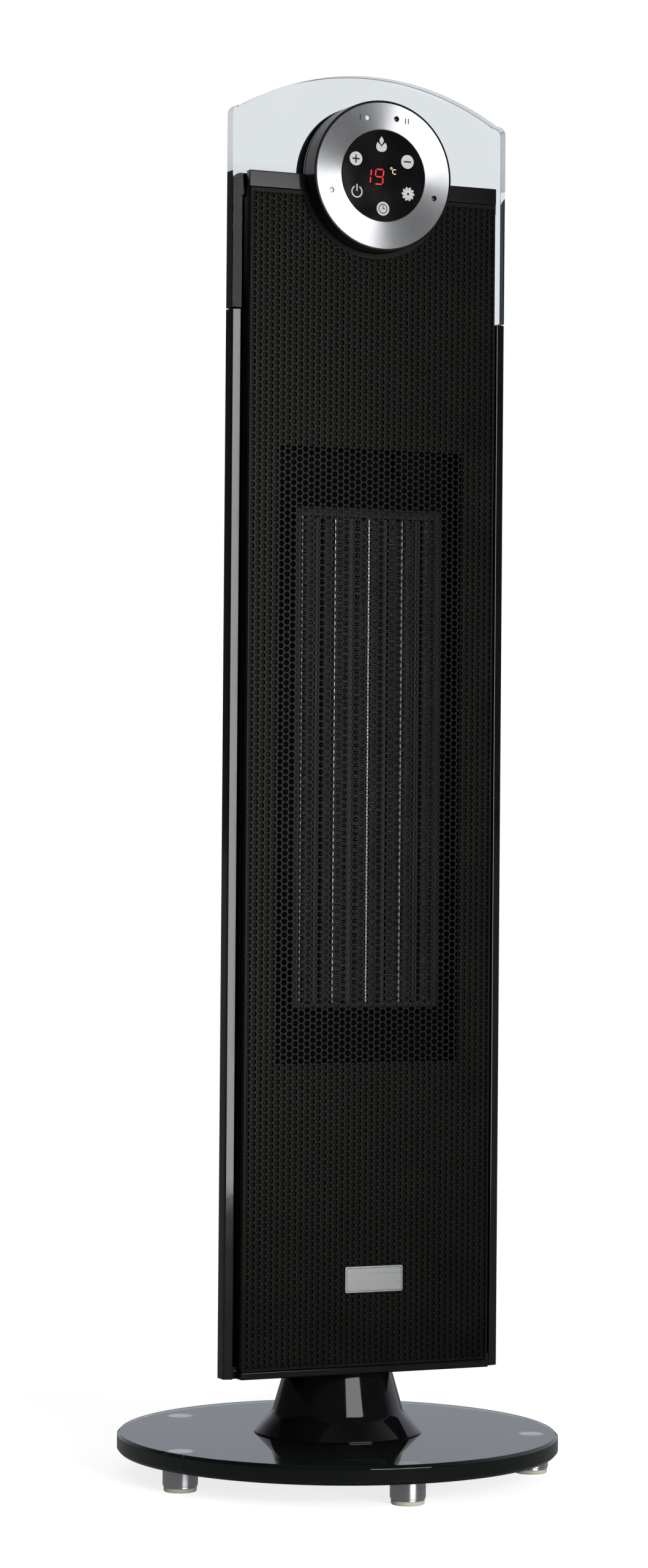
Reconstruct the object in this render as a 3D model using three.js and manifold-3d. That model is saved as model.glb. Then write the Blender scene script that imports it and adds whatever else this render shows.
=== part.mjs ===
// Tower heater: a slim black tower with a finned heating core and a cross-flow fan behind a perforated
// front, which swings from side to side on a flared neck over a round glass foot.
// Millimetres, +Z up. The origin is on the floor under the middle of the glass disc; the tower faces -Y.
import * as THREE from 'three';
import { mergeVertices } from 'three/addons/utils/BufferGeometryUtils.js';
import Module from 'manifold-3d';

const wasm = await Module();
wasm.setup();

// Driving dimensions shared by several pieces
const fitGap = 0.3;
const runGap = 0.6;
const overrun = 3;
const weld = 0.0001;
const wall = 2.5;

// Glass foot: disc, five posts with pads, and the nut that clamps the pivot tube under the glass
const disc = { radius: 117.5, thickness: 10, bevel: 1.5 };
const foot = { count: 5, circle: 103.5, firstAngle: THREE.MathUtils.degToRad(-94.3), radius: 9.2, height: 12 };
const pad = { radius: 8.6, thickness: 2 };
const clampNut = { acrossCorners: 36, thickness: 5 };
const discTop = foot.height + disc.thickness;

// Neck: a flared shell from the glass up to the tower's underside
const neck = { lipRadius: 44.6, lipHeight: 0.7, topRadius: 27.5, height: 37, deck: 3 };
const crease = { radius: 35, rise: 10.8, round: 2, steps: 3 };
const neckTop = discTop + neck.height;
const tube = { radius: 9, bore: 6.5, collarRadius: 13, collar: 3, tail: 4 };
const bearing = { inner: 20, outer: 25, thickness: 2 };

// Tower: the front faces -Y. Depths are distances in front of the swing axis, drops are measured down from the
// tower's top, and insets in from its sides
const towerBottom = 57;
const towerTop = 740;
const slab = { halfWidth: 79.4, frontDepth: 30.3, thickness: 8 };
const topDrop = { shoulder: 20.5, dial: 54.3, housing: 55, grille: 63.7, notch: 68, clear: 126.3, outlet: 197 };
const sideInset = {
  housing: 2.4, coverInner: 5.2, leg: 5.9, grille: 7.6, coverLip: 8.6, frontFrame: 8.9, floorPlate: 9.9,
  ductFlange: 12.9, coreFlange: 21.4, outlet: 26.9, mouth: 31.4,
};
const rail = { height: 4, stand: 1, back: 7 };
const casingBottom = towerBottom + rail.height + fitGap;
const clear = {
  apex: towerTop, shoulder: towerTop - topDrop.shoulder, notchTop: towerTop - topDrop.notch,
  bottom: towerTop - topDrop.clear, cornerRound: 5,
};
const coverGap = 0.5;
const cover = {
  top: clear.bottom - coverGap, inner: slab.halfWidth - sideInset.coverInner,
  lipInner: slab.halfWidth - sideInset.coverLip, slant: 1, edgeRound: 1, lip: 2.5,
};
const grille = {
  halfWidth: slab.halfWidth - sideInset.grille, frontDepth: 34.8, thickness: 1, bottom: casingBottom,
  top: towerTop - topDrop.grille, foldDepth: 6.8,
};
const cap = { height: 8.7, back: 4.2 };
const frontFrame = {
  halfWidth: slab.halfWidth - sideInset.frontFrame, depth: 31.8, thickness: 2.5, flange: 2, flangeBack: 16,
};
const outlet = { halfWidth: slab.halfWidth - sideInset.outlet, bottom: 220.3, top: towerTop - topDrop.outlet };
const hole = { pitch: 19, acrossCorners: 14.4, margin: 35 };
const housingShare = { shoulder: 0.7935, back: 0.4786 };
const housing = {
  halfWidth: slab.halfWidth - sideInset.housing, back: 65, top: towerTop - topDrop.housing,
  shoulderX: slab.halfWidth * housingShare.shoulder, shoulderY: 18, backX: slab.halfWidth * housingShare.back,
  topRound: 5, roundSteps: 3,
};
const intake = { columns: 3, width: 18, height: 9, pitchX: 23, pitchZ: 22, rise: 16.5 };
const floorPlate = {
  bottom: casingBottom, thickness: 3, frontDepth: 29.2, halfWidth: slab.halfWidth - sideInset.floorPlate, rim: 2,
  rimFront: 28.4,
};
const badge = { left: -12.7, right: 20.8, bottom: 99.6, top: 113.5, thickness: 1 };

// Dial on the clear panel: a black drum with a brushed ring and a round touch panel
const dial = {
  z: towerTop - topDrop.dial, radius: 39.5, frontDepth: 45.3, neckRadius: 35.7, seat: 2, backDepth: 19.2,
};
const ring = { outer: 38.5, inner: 24.1, thickness: 1.5 };
const lens = { radius: 1.3, circle: 31.2, angles: [107.4, 76.3, 197.7, 341.6] };
const touch = { radius: 23.8, sink: 0.3 };
const board = { radius: 31, thickness: 1.6 };

// Heating core: fin plates with heating bars midway between them, in a frame with a back flange. It lies behind
// the outlet, and its plates are spread over a share of the outlet's width
const coreMargin = { below: 31.2, above: 36 };
const spacingShare = 11 / 30;
const core = {
  bottom: outlet.bottom + coreMargin.below, top: outlet.top - coreMargin.above, depth: 31, thickness: 14,
  plates: 5, spacing: outlet.halfWidth * spacingShare, plate: 0.8,
};
const bar = { width: 3, depth: 12 };
const fin = { count: 13, thickness: 1.6 };
const coreFrame = {
  endGap: 0.5, rimWall: 2.6, rimBelow: 2.5, rimAbove: 5, flange: 2, reach: 46,
  flangeHalfWidth: slab.halfWidth - sideInset.coreFlange,
};
const cutout = { radius: 8, height: 6, x: 26, above: 30 };

// Cross-flow fan: rotor, spiral duct, motor below and a bearing above. Its size is a share of the tower's
const fanShare = { radius: 0.34, bladeInner: 0.252, bend: 1 / 3 };
const fanEnds = { below: 1.5, above: 3 };
const fan = {
  y: 24, radius: slab.halfWidth * fanShare.radius, disc: 2, shaft: 3, blades: 16,
  bottom: core.bottom - fanEnds.below, top: core.top + fanEnds.above,
};
const blade = {
  inner: slab.halfWidth * fanShare.bladeInner, thickness: 1.1, sweep: THREE.MathUtils.degToRad(11),
};
const duct = {
  wall: 2, tipGap: 3, endGap: 3, end: 4, mouth: slab.halfWidth - sideInset.mouth, flange: 2, rim: 12, steps: 10,
  flangeHalfWidth: slab.halfWidth - sideInset.ductFlange,
};
const ductStart = THREE.MathUtils.degToRad(110);
const tongueAngle = THREE.MathUtils.degToRad(-15);
const boss = { radius: 3.5, inset: 3.5 };
const motor = { radius: 24, height: 42, bore: 3.4, boreDepth: 12, tail: 6, tailRadius: 8 };
const rotorBearing = { outer: 8, height: 6, flange: 10, flangeHeight: 1.5 };

// Swing drive: a toothed sector fixed to the pivot tube, and a pinion on a motor carried by the tower
const gear = { module: 1, teeth: 48, cutTeeth: 16, thickness: 4, hub: 14, addendum: 0.8, dedendum: 1.2 };
const pinion = { teeth: 12, bore: 2.3, shaft: 2 };
const pressureAngle = THREE.MathUtils.degToRad(20);
const backlash = 0.3;
const swingMotor = { radius: 21, height: 16, ear: 28, earRadius: 4, earHeight: 1.5, stand: 9 };

// Electrical pieces inside the tower's foot, and the rocker switch low on the back
const powerBoard = { halfWidth: 35, thickness: 1.6, height: 88, depth: 18 };
const tiltShare = 0.554;
const tilt = { x: -slab.halfWidth * tiltShare, y: 4, width: 16, depth: 12, height: 20 };
const rocker = { z: 104, width: 11, height: 17, thickness: 3, pivotOut: 0.6 };
const rockerTilt = THREE.MathUtils.degToRad(10);
const bezel = { width: 15, height: 21, flange: 1.6, wall: 1.4, bodyDepth: 12, stand: 1.9 };

// Mains cord: it leaves the back of the neck, lies over the glass and ends in a tied hank with its plug.
// The hank lies behind the foot, in line with hankHeading.
const cord = { diameter: 6.4, sides: 8 };
const cordExit = { z: 43, y: 34.3 };
const relief = { length: 23.7, plugLength: 7.3, shank: 5.6, head: 7.2, headHeight: 2.5, tip: 4.5 };
const hankHeading = THREE.MathUtils.degToRad(65.56);
const hank = {
  centre: 177.5, side: -0.9, foldCentre: 26.7, halfWidth: 26.4, pitch: 7.15, layerPitch: 6.9, waist: 3, sides: 6,
};
const hankTurn = { quarters: 4, foldSteps: 8, runSteps: 4, layers: 4, turns: 5.25 };
// How many pitches out the hank lies at each count of turns, and where it starts to drop by a layer
const hankDraw = [[0, 1], [1, 0], [1.25, 0], [2.5, 1.25], [2.75, 1.25], [4, 0], [4.25, 0], [hankTurn.turns, 1]];
const hankDrops = [1, 2.5, 4];
const gapTest = { finer: 4, apartShare: 1 / 3 };
const tie = { thickness: 1, width: 5, clearance: 0.35 };
const leadRoute = [
  [0, 58.6, 43], [0.4, 63.5, 42.7], [2.2, 70, 41], [7, 81, 34.6], [13.2, 94.4, 28.2],
  [19.2, 107.4, 25.5], [25.5, 121.4, 25.2], [32, 135.8, 25.2], [37.3, 147.5, 25.2],
];
const tailRoute = [
  [60.1, 198.2, 4.5], [63.2, 203, 4.5], [69.9, 209.3, 4.6], [82.8, 214.8, 5.2], [95.7, 220.2, 6.9],
  [102.1, 226, 8.1], [105.6, 232.3, 8.5],
];
const plug = {
  start: 255.6, reliefLength: 20, reliefTip: 4.6, reliefRoot: 6, width: 48, length: 46, height: 19,
};
const plugFace = { thickness: 6, cornerRound: 8, gripInset: 5, cordHeight: 8.5 };
const pins = {
  spacing: 22.2, setIn: 12, flatWidth: 6.4, flatLength: 17.7, earthWidth: 8, earthLength: 22.7, thickness: 4,
};

const discSteps = 60;
const roundSteps = 36;
const smallSteps = 20;
const tinySteps = 12;
const housingSteps = 10;
const biteSteps = 8;
const endSteps = 6;
const cornerSteps = 4;
const hexSides = 6;

const looks = {
  glossBlack: finish(0x0a0a0b, 0.12, 0),
  satinBlack: finish(0x121213, 0.45, 0),
  darkGlass: finish(0x0d1413, 0.05, 0),
  clearGlass: finish(0xdfe6ea, 0.05, 0),
  chrome: finish(0xc9ccce, 0.15, 1),
  steel: finish(0x8e9194, 0.35, 1),
  aluminium: finish(0xc4c7c9, 0.3, 1),
  brass: finish(0xb08d45, 0.35, 1),
  creamRubber: finish(0xd9d2bd, 0.8, 0),
  cordBlack: finish(0x161616, 0.6, 0),
  greyPlastic: finish(0x3a3c3e, 0.55, 0),
  nylon: finish(0xe4e2dc, 0.5, 0),
  board: finish(0x1f4a2c, 0.5, 0),
};

function finish(color, roughness, metalness) {
  return new THREE.MeshStandardMaterial({ color, roughness, metalness });
}

function part(group, name, geometry, look) {
  const mesh = new THREE.Mesh(geometry, look);
  mesh.name = name;
  group.add(mesh);
  return mesh;
}

// Solids: a closed mesh becomes a solid that can be joined or cut, and comes back as a geometry
function toSolid(geometry) {
  const bare = new THREE.BufferGeometry();
  bare.setAttribute('position', geometry.attributes.position.clone());
  bare.setIndex(geometry.index ? geometry.index.clone() : null);
  const merged = mergeVertices(bare, weld);
  const kept = [];
  const index = merged.index.array;
  for (let i = 0; i < index.length; i += 3) {
    const [a, b, c] = [index[i], index[i + 1], index[i + 2]];
    if (a !== b && b !== c && c !== a) kept.push(a, b, c);
  }
  const vertProperties = new Float32Array(merged.attributes.position.array);
  const triVerts = new Uint32Array(kept);
  return new wasm.Manifold(new wasm.Mesh({ numProp: 3, vertProperties, triVerts }));
}

function toGeometry(solid) {
  const mesh = solid.getMesh();
  const geometry = new THREE.BufferGeometry();
  geometry.setAttribute('position', new THREE.BufferAttribute(new Float32Array(mesh.vertProperties), 3));
  geometry.setIndex(new THREE.BufferAttribute(new Uint32Array(mesh.triVerts), 1));
  geometry.computeVertexNormals();
  return geometry;
}

function join(first, ...others) {
  let solid = toSolid(first);
  for (const other of others) solid = solid.add(toSolid(other));
  return toGeometry(solid);
}

function cut(first, ...tools) {
  let solid = toSolid(first);
  for (const tool of tools) solid = solid.subtract(toSolid(tool));
  return toGeometry(solid);
}

// Shapes: profiles turned about the vertical axis or about the front-to-back axis, and flat outlines
function points(pairs) {
  return pairs.map(([x, y]) => new THREE.Vector2(x, y));
}

function turned(pairs, steps) {
  return new THREE.LatheGeometry(points(pairs), steps).rotateX(Math.PI / 2);
}

function turnedFacing(pairs, steps) {
  return new THREE.LatheGeometry(points(pairs), steps);
}

function tubeProfile(inner, outer, bottom, top) {
  return [[outer, bottom], [outer, top], [inner, top], [inner, bottom], [outer, bottom]];
}

function rod(radius, bottom, top, steps) {
  return turned([[0, bottom], [radius, bottom], [radius, top], [0, top]], steps);
}

function rodFacing(radius, front, back, steps) {
  return turnedFacing([[0, front], [radius, front], [radius, back], [0, back]], steps);
}

function upright(shape, bottom, top, curveSegments = tinySteps) {
  const options = { depth: top - bottom, bevelEnabled: false, curveSegments };
  return new THREE.ExtrudeGeometry(shape, options).translate(0, 0, bottom);
}

function facing(shape, front, back, curveSegments = tinySteps) {
  const options = { depth: back - front, bevelEnabled: false, curveSegments };
  return new THREE.ExtrudeGeometry(shape, options).rotateX(Math.PI / 2).translate(0, back, 0);
}

function block(left, right, front, back, bottom, top) {
  const geometry = new THREE.BoxGeometry(right - left, back - front, top - bottom);
  return geometry.translate((left + right) / 2, (front + back) / 2, (bottom + top) / 2);
}

function rectangle(left, right, bottom, top) {
  return new THREE.Shape(points([[left, bottom], [right, bottom], [right, top], [left, top]]));
}

function polygonHole(x, y, radius, sides, turn) {
  const corners = [];
  for (let i = 0; i < sides; i++) {
    const angle = turn - (i / sides) * 2 * Math.PI;
    corners.push([x + radius * Math.cos(angle), y + radius * Math.sin(angle)]);
  }
  return new THREE.Path(points(corners));
}

function ringAt(angle, radius) {
  return [radius * Math.cos(angle), radius * Math.sin(angle)];
}

// Glass foot
function glassDisc() {
  const { radius, bevel } = disc;
  const bore = tube.radius + fitGap;
  const profile = [
    [bore, foot.height], [radius - bevel, foot.height], [radius, foot.height + bevel],
    [radius, discTop - bevel], [radius - bevel, discTop], [bore, discTop], [bore, foot.height],
  ];
  return turned(profile, discSteps);
}

function buildFoot(base) {
  part(base, 'glass_disc', glassDisc(), looks.darkGlass);
  for (let i = 0; i < foot.count; i++) {
    const leg = new THREE.Group();
    const [x, y] = ringAt(foot.firstAngle + (i / foot.count) * 2 * Math.PI, foot.circle);
    leg.position.set(x, y, 0);
    base.add(leg);
    part(leg, `foot_post_${i + 1}`, rod(foot.radius, pad.thickness, foot.height, smallSteps), looks.chrome);
    part(leg, `foot_pad_${i + 1}`, rod(pad.radius, 0, pad.thickness, smallSteps), looks.creamRubber);
  }
}

// Neck: a cone down to a rounded crease, then a straight flare to the lip on the glass
function neckSide() {
  const lip = new THREE.Vector2(neck.lipRadius, discTop + neck.lipHeight);
  const corner = new THREE.Vector2(crease.radius, discTop + crease.rise);
  const top = new THREE.Vector2(neck.topRadius, neckTop);
  const towards = (end) => end.clone().sub(corner).setLength(crease.round).add(corner);
  const bend = new THREE.QuadraticBezierCurve(towards(lip), corner, towards(top)).getPoints(crease.steps);
  return [lip, ...bend, top].map((p) => [p.x, p.y]);
}

// The neck's shell, with the hole for the cord's strain relief in its back
function neckShell() {
  const outside = neckSide();
  const deckBottom = neckTop - neck.deck;
  const inside = outside.filter(([, z]) => z < deckBottom - wall).reverse().map(([r, z]) => [r - wall, z]);
  const bore = tube.radius + fitGap;
  const profile = [
    [neck.lipRadius, discTop], ...outside, [bore, neckTop], [bore, deckBottom],
    [neck.topRadius - wall, deckBottom], ...inside, [neck.lipRadius - wall, discTop], [neck.lipRadius, discTop],
  ];
  const shell = turned(profile, roundSteps);
  const hollow = relief.shank + fitGap;
  const cordHole = rodFacing(hollow, bearing.inner, neck.lipRadius, tinySteps).translate(0, 0, cordExit.z);
  return cut(shell, cordHole);
}

function pivotTube() {
  const bottom = foot.height - clampNut.thickness - tube.tail / 2;
  const collarTop = neckTop - neck.deck - fitGap;
  const top = gearBottom() + gear.thickness + tube.tail;
  const profile = [
    [tube.radius, bottom], [tube.radius, collarTop - tube.collar], [tube.collarRadius, collarTop - tube.collar],
    [tube.collarRadius, collarTop], [tube.radius, collarTop], [tube.radius, top], [tube.bore, top],
    [tube.bore, bottom], [tube.radius, bottom],
  ];
  return turned(profile, smallSteps);
}

function hexNut(size, bottom, top, bore) {
  const shape = new THREE.Shape(polygonHole(0, 0, size / 2, hexSides, 0).getPoints().reverse());
  shape.holes.push(polygonHole(0, 0, bore, smallSteps, 0));
  return upright(shape, bottom, top);
}

function buildNeck(base) {
  part(base, 'neck', neckShell(), looks.glossBlack);
  part(base, 'pivot_tube', pivotTube(), looks.steel);
  const nutTop = foot.height - fitGap;
  const bore = tube.radius + fitGap;
  const nut = hexNut(clampNut.acrossCorners, nutTop - clampNut.thickness, nutTop, bore);
  part(base, 'disc_clamp_nut', nut, looks.steel);
  const seat = tubeProfile(bearing.inner, bearing.outer, neckTop, neckTop + bearing.thickness);
  part(base, 'swivel_bearing', turned(seat, roundSteps), looks.nylon);
}

// Toothed wheels with involute flanks
function involute(angle) {
  return Math.tan(angle) - angle;
}

function toothFlank(teeth, radius) {
  const pitch = (gear.module * teeth) / 2;
  const base = pitch * Math.cos(pressureAngle);
  const half = (Math.PI * gear.module) / 4 - backlash / 2;
  const at = Math.acos(Math.min(1, base / radius));
  return half / pitch + involute(pressureAngle) - involute(at);
}

function toothedArc(teeth, first, count, startAngle) {
  const pitch = (gear.module * teeth) / 2;
  const root = pitch - gear.dedendum * gear.module;
  const tip = pitch + gear.addendum * gear.module;
  const rows = [];
  for (let i = first; i < first + count; i++) {
    const middle = startAngle + ((i + 0.5) / teeth) * 2 * Math.PI;
    for (const radius of [root, pitch, tip]) rows.push(ringAt(middle - toothFlank(teeth, radius), radius));
    for (const radius of [tip, pitch, root]) rows.push(ringAt(middle + toothFlank(teeth, radius), radius));
  }
  return rows;
}

function gearBottom() {
  return floorPlate.bottom + floorPlate.thickness + runGap;
}

function pinionDistance() {
  return (gear.module * (gear.teeth + pinion.teeth)) / 2;
}

function swingGear() {
  const teeth = toothedArc(gear.teeth, -gear.cutTeeth / 2, gear.cutTeeth, Math.PI / 2);
  const shape = new THREE.Shape(points(teeth));
  const halfSpan = (gear.cutTeeth / gear.teeth) * Math.PI;
  shape.lineTo(...ringAt(Math.PI / 2 + halfSpan, gear.hub));
  shape.absarc(0, 0, gear.hub, Math.PI / 2 + halfSpan, Math.PI / 2 - halfSpan, false);
  shape.holes.push(polygonHole(0, 0, tube.radius + fitGap, smallSteps, 0));
  return upright(shape, gearBottom(), gearBottom() + gear.thickness, smallSteps);
}

function pinionWheel() {
  const teeth = toothedArc(pinion.teeth, 0, pinion.teeth, -Math.PI / 2 - Math.PI / pinion.teeth);
  const shape = new THREE.Shape(points(teeth));
  shape.holes.push(polygonHole(0, 0, pinion.bore, tinySteps, 0));
  return upright(shape, gearBottom(), gearBottom() + gear.thickness);
}

function swingMotorBody() {
  const bottom = gearBottom() + swingMotor.stand;
  const can = rod(swingMotor.radius, bottom, bottom + swingMotor.height, smallSteps);
  const shaft = rod(pinion.shaft, gearBottom() + runGap, bottom + overrun, tinySteps);
  const half = swingMotor.ear + swingMotor.earRadius;
  const side = swingMotor.earRadius;
  const ears = block(-half, half, -side, side, bottom, bottom + swingMotor.earHeight);
  return join(can, shaft, ears);
}

function buildSwingDrive(base, tower) {
  part(base, 'swing_gear', swingGear(), looks.nylon);
  const drive = new THREE.Group();
  drive.position.set(0, pinionDistance(), 0);
  tower.add(drive);
  part(drive, 'swing_pinion', pinionWheel(), looks.brass);
  part(drive, 'swing_motor', swingMotorBody(), looks.steel);
}

// Tower casing. The outline of the back bows from one side to the other; inset moves it inwards
function housingOutline(inset, front, frontHalfWidth) {
  const side = housing.halfWidth - inset;
  const shape = new THREE.Shape();
  shape.moveTo(-frontHalfWidth, front);
  shape.lineTo(frontHalfWidth, front);
  shape.lineTo(frontHalfWidth, housingFront());
  shape.lineTo(side, housingFront());
  const shoulder = housing.shoulderX - inset;
  const backX = housing.backX - inset / 2;
  const back = housing.back - inset;
  shape.bezierCurveTo(shoulder, housing.shoulderY, backX, back, 0, back);
  shape.bezierCurveTo(-backX, back, -shoulder, housing.shoulderY, -side, housingFront());
  shape.lineTo(-frontHalfWidth, housingFront());
  shape.closePath();
  return shape;
}

function slabBack() {
  return slab.thickness - slab.frontDepth;
}

function housingFront() {
  return slabBack() + fitGap;
}

function rearHousing() {
  const front = housingFront();
  const outline = housingOutline(housing.topRound, front, housing.halfWidth - housing.topRound);
  const shell = new THREE.ExtrudeGeometry(outline, {
    depth: housing.top - towerBottom - housing.topRound,
    bevelEnabled: true,
    bevelThickness: housing.topRound,
    bevelSize: housing.topRound,
    bevelSegments: housing.roundSteps,
    curveSegments: housingSteps,
  }).translate(0, 0, towerBottom);
  const far = slab.halfWidth + overrun;
  const tooLow = block(-far, far, -far, far, towerBottom - housing.topRound - overrun, towerBottom);
  const tooFar = block(-far, far, front - far, front, 0, housing.top + overrun);
  const outlineInside = housingOutline(wall, front - overrun, housing.halfWidth - wall);
  const inside = upright(outlineInside, towerBottom - overrun, housing.top - wall, housingSteps);
  const dialSeat = rodFacing(dial.radius + fitGap, front - overrun, -dial.backDepth + fitGap, roundSteps);
  const tools = [tooLow, tooFar, inside, dialSeat.translate(0, 0, dial.z)];
  const back = housing.back + overrun;
  const deep = housing.back - housing.shoulderY;
  const rows = Math.floor((core.top - core.bottom) / intake.pitchZ);
  for (let column = 0; column < intake.columns; column++) {
    const left = (column - (intake.columns - 1) / 2) * intake.pitchX - intake.width / 2;
    for (let row = 0; row < rows; row++) {
      const bottom = core.bottom + intake.rise + row * intake.pitchZ;
      tools.push(block(left, left + intake.width, deep, back, bottom, bottom + intake.height));
    }
  }
  const half = (bezel.width - 2 * bezel.wall) / 2 + fitGap;
  const tall = (bezel.height - 2 * bezel.wall) / 2 + fitGap;
  tools.push(block(-half, half, deep, back, rocker.z - tall, rocker.z + tall));
  return cut(shell, ...tools);
}

// Floor of the tower, with posts for the swing motor and its front corners turned down behind the covers
function bottomPlate() {
  const outline = housingOutline(wall + fitGap, -floorPlate.frontDepth, floorPlate.halfWidth);
  outline.holes.push(polygonHole(0, 0, tube.radius + runGap, smallSteps, 0));
  const top = floorPlate.bottom + floorPlate.thickness;
  const plate = upright(outline, floorPlate.bottom, top, housingSteps);
  const postTop = gearBottom() + swingMotor.stand - fitGap;
  const posts = [-1, 1].map((side) => rod(swingMotor.earRadius, top - fitGap, postTop, tinySteps)
    .translate(side * swingMotor.ear, pinionDistance(), 0));
  const { halfWidth, rim, rimFront } = floorPlate;
  const rimTop = floorPlate.bottom + fitGap;
  const leftRim = block(-halfWidth, rim - halfWidth, -rimFront, slabBack(), towerBottom, rimTop);
  const rightRim = block(halfWidth - rim, halfWidth, -rimFront, slabBack(), towerBottom, rimTop);
  return join(plate, ...posts, leftRim, rightRim);
}

function sideCover(side) {
  const outer = slab.halfWidth;
  const front = -slab.frontDepth;
  const back = slabBack();
  const shape = new THREE.Shape(points([
    [side * outer, back],
    [side * outer, front + cover.edgeRound],
    [side * (outer - cover.edgeRound), front],
    [side * cover.inner, front - cover.slant],
    [side * cover.inner, back - cover.lip],
    [side * cover.lipInner, back - cover.lip],
    [side * cover.lipInner, back],
  ]));
  return upright(shape, towerBottom, cover.top);
}

// Clear panel: an inverted U with an arched top, cut away for the front box and for the dial's neck
function clearPanel() {
  const { halfWidth } = slab;
  const legHalfWidth = halfWidth - sideInset.leg;
  const rise = clear.apex - clear.shoulder;
  const archHalf = halfWidth - clear.cornerRound;
  const archRadius = (archHalf * archHalf + rise * rise) / (2 * rise);
  const archCentre = clear.apex - archRadius;
  const spread = Math.asin(archHalf / archRadius);
  const bore = dial.neckRadius + fitGap;
  const dip = dial.z - clear.notchTop;
  const notch = Math.asin(dip / bore);
  const shape = new THREE.Shape();
  shape.moveTo(halfWidth, clear.bottom);
  shape.lineTo(halfWidth, clear.shoulder - clear.cornerRound);
  shape.quadraticCurveTo(halfWidth, clear.shoulder, archHalf, clear.shoulder);
  shape.absarc(0, archCentre, archRadius, Math.PI / 2 - spread, Math.PI / 2 + spread, false);
  shape.quadraticCurveTo(-halfWidth, clear.shoulder, -halfWidth, clear.shoulder - clear.cornerRound);
  shape.lineTo(-halfWidth, clear.bottom);
  shape.lineTo(-legHalfWidth, clear.bottom);
  shape.lineTo(-legHalfWidth, clear.notchTop);
  shape.lineTo(-bore * Math.cos(notch), clear.notchTop);
  shape.absarc(0, dial.z, bore, Math.PI + notch, -notch, true);
  shape.lineTo(legHalfWidth, clear.notchTop);
  shape.lineTo(legHalfWidth, clear.bottom);
  shape.closePath();
  return facing(shape, -slab.frontDepth, slabBack(), smallSteps);
}

// Outline of a sheet under the dial: a rectangle whose top edge is bitten by the dial's circle
function underDial(halfWidth, bottom, top) {
  const bite = dial.radius + fitGap;
  const dip = Math.asin((dial.z - top) / bite);
  const shape = new THREE.Shape();
  shape.moveTo(-halfWidth, bottom);
  shape.lineTo(halfWidth, bottom);
  shape.lineTo(halfWidth, top);
  shape.lineTo(bite * Math.cos(dip), top);
  shape.absarc(0, dial.z, bite, -dip, Math.PI + dip, true);
  shape.lineTo(-halfWidth, top);
  shape.closePath();
  return shape;
}

function frontGrille() {
  const outline = underDial(grille.halfWidth, grille.bottom, grille.top);
  const rowPitch = (hole.pitch * Math.sqrt(3)) / 2;
  const rows = Math.floor((outlet.top - outlet.bottom - hole.margin) / rowPitch);
  const columns = Math.round((2 * outlet.halfWidth) / hole.pitch);
  const middle = (outlet.bottom + outlet.top) / 2;
  for (let row = 0; row < rows; row++) {
    const z = middle + (row - (rows - 1) / 2) * rowPitch;
    const count = columns - (row % 2);
    for (let column = 0; column < count; column++) {
      const x = (column - (count - 1) / 2) * hole.pitch;
      outline.holes.push(polygonHole(x, z, hole.acrossCorners / 2, hexSides, Math.PI / 2));
    }
  }
  const front = -grille.frontDepth;
  const face = facing(outline, front, front + grille.thickness, biteSteps);
  const foldTop = clear.notchTop - fitGap;
  const folds = [-1, 1].map((side) => {
    const outer = side * grille.halfWidth;
    const inner = side * (grille.halfWidth - grille.thickness);
    const back = front + grille.foldDepth;
    return block(Math.min(outer, inner), Math.max(outer, inner), front, back, grille.bottom, foldTop);
  });
  return join(face, ...folds);
}

function grilleCap(side) {
  const bottom = grille.top + fitGap;
  const top = bottom + cap.height;
  const front = -grille.frontDepth;
  const [left, right] = side > 0 ? [0, grille.halfWidth] : [-grille.halfWidth, 0];
  const strip = block(left, right, front, front + cap.back, bottom, top);
  const bite = rodFacing(dial.radius + fitGap, front - overrun, front + cap.back + overrun, roundSteps);
  return cut(strip, bite.translate(0, 0, dial.z));
}

function bottomRail() {
  const front = -grille.frontDepth - rail.stand;
  const half = grille.halfWidth;
  return block(-half, half, front, front + rail.back, towerBottom, towerBottom + rail.height);
}

// Inner frame behind the grille, with the air outlet and two flanges that stiffen its sides
function innerFrame() {
  const outline = underDial(frontFrame.halfWidth, grille.bottom, clear.notchTop - fitGap);
  outline.holes.push(rectangle(-outlet.halfWidth, outlet.halfWidth, outlet.bottom, outlet.top));
  const front = -frontFrame.depth;
  const panel = facing(outline, front, front + frontFrame.thickness, biteSteps);
  const flangeBottom = floorPlate.bottom + floorPlate.thickness + fitGap;
  const flanges = [-1, 1].map((side) => {
    const outer = side * frontFrame.halfWidth;
    const inner = side * (frontFrame.halfWidth - frontFrame.flange);
    const [left, right] = [Math.min(outer, inner), Math.max(outer, inner)];
    return block(left, right, front, -frontFrame.flangeBack, flangeBottom, clear.notchTop - fitGap);
  });
  return join(panel, ...flanges);
}

function badgePlate() {
  const front = -grille.frontDepth;
  return block(badge.left, badge.right, front - badge.thickness, front, badge.bottom, badge.top);
}

function buildCasing(tower) {
  part(tower, 'tower_bottom_plate', bottomPlate(), looks.satinBlack);
  part(tower, 'rear_housing', rearHousing(), looks.satinBlack);
  part(tower, 'inner_front_frame', innerFrame(), looks.greyPlastic);
  part(tower, 'front_grille', frontGrille(), looks.satinBlack);
  part(tower, 'bottom_rail', bottomRail(), looks.glossBlack);
  part(tower, 'grille_cap_left', grilleCap(-1), looks.glossBlack);
  part(tower, 'grille_cap_right', grilleCap(1), looks.glossBlack);
  part(tower, 'side_cover_left', sideCover(-1), looks.glossBlack);
  part(tower, 'side_cover_right', sideCover(1), looks.glossBlack);
  part(tower, 'clear_panel', clearPanel(), looks.clearGlass);
  part(tower, 'badge_plate', badgePlate(), looks.aluminium);
}

// Dial: a drum in front of the clear panel, whose neck runs back through it into a clamp ring
function dialSeatFront() {
  return -dial.frontDepth + ring.thickness + touch.sink + fitGap;
}

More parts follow.
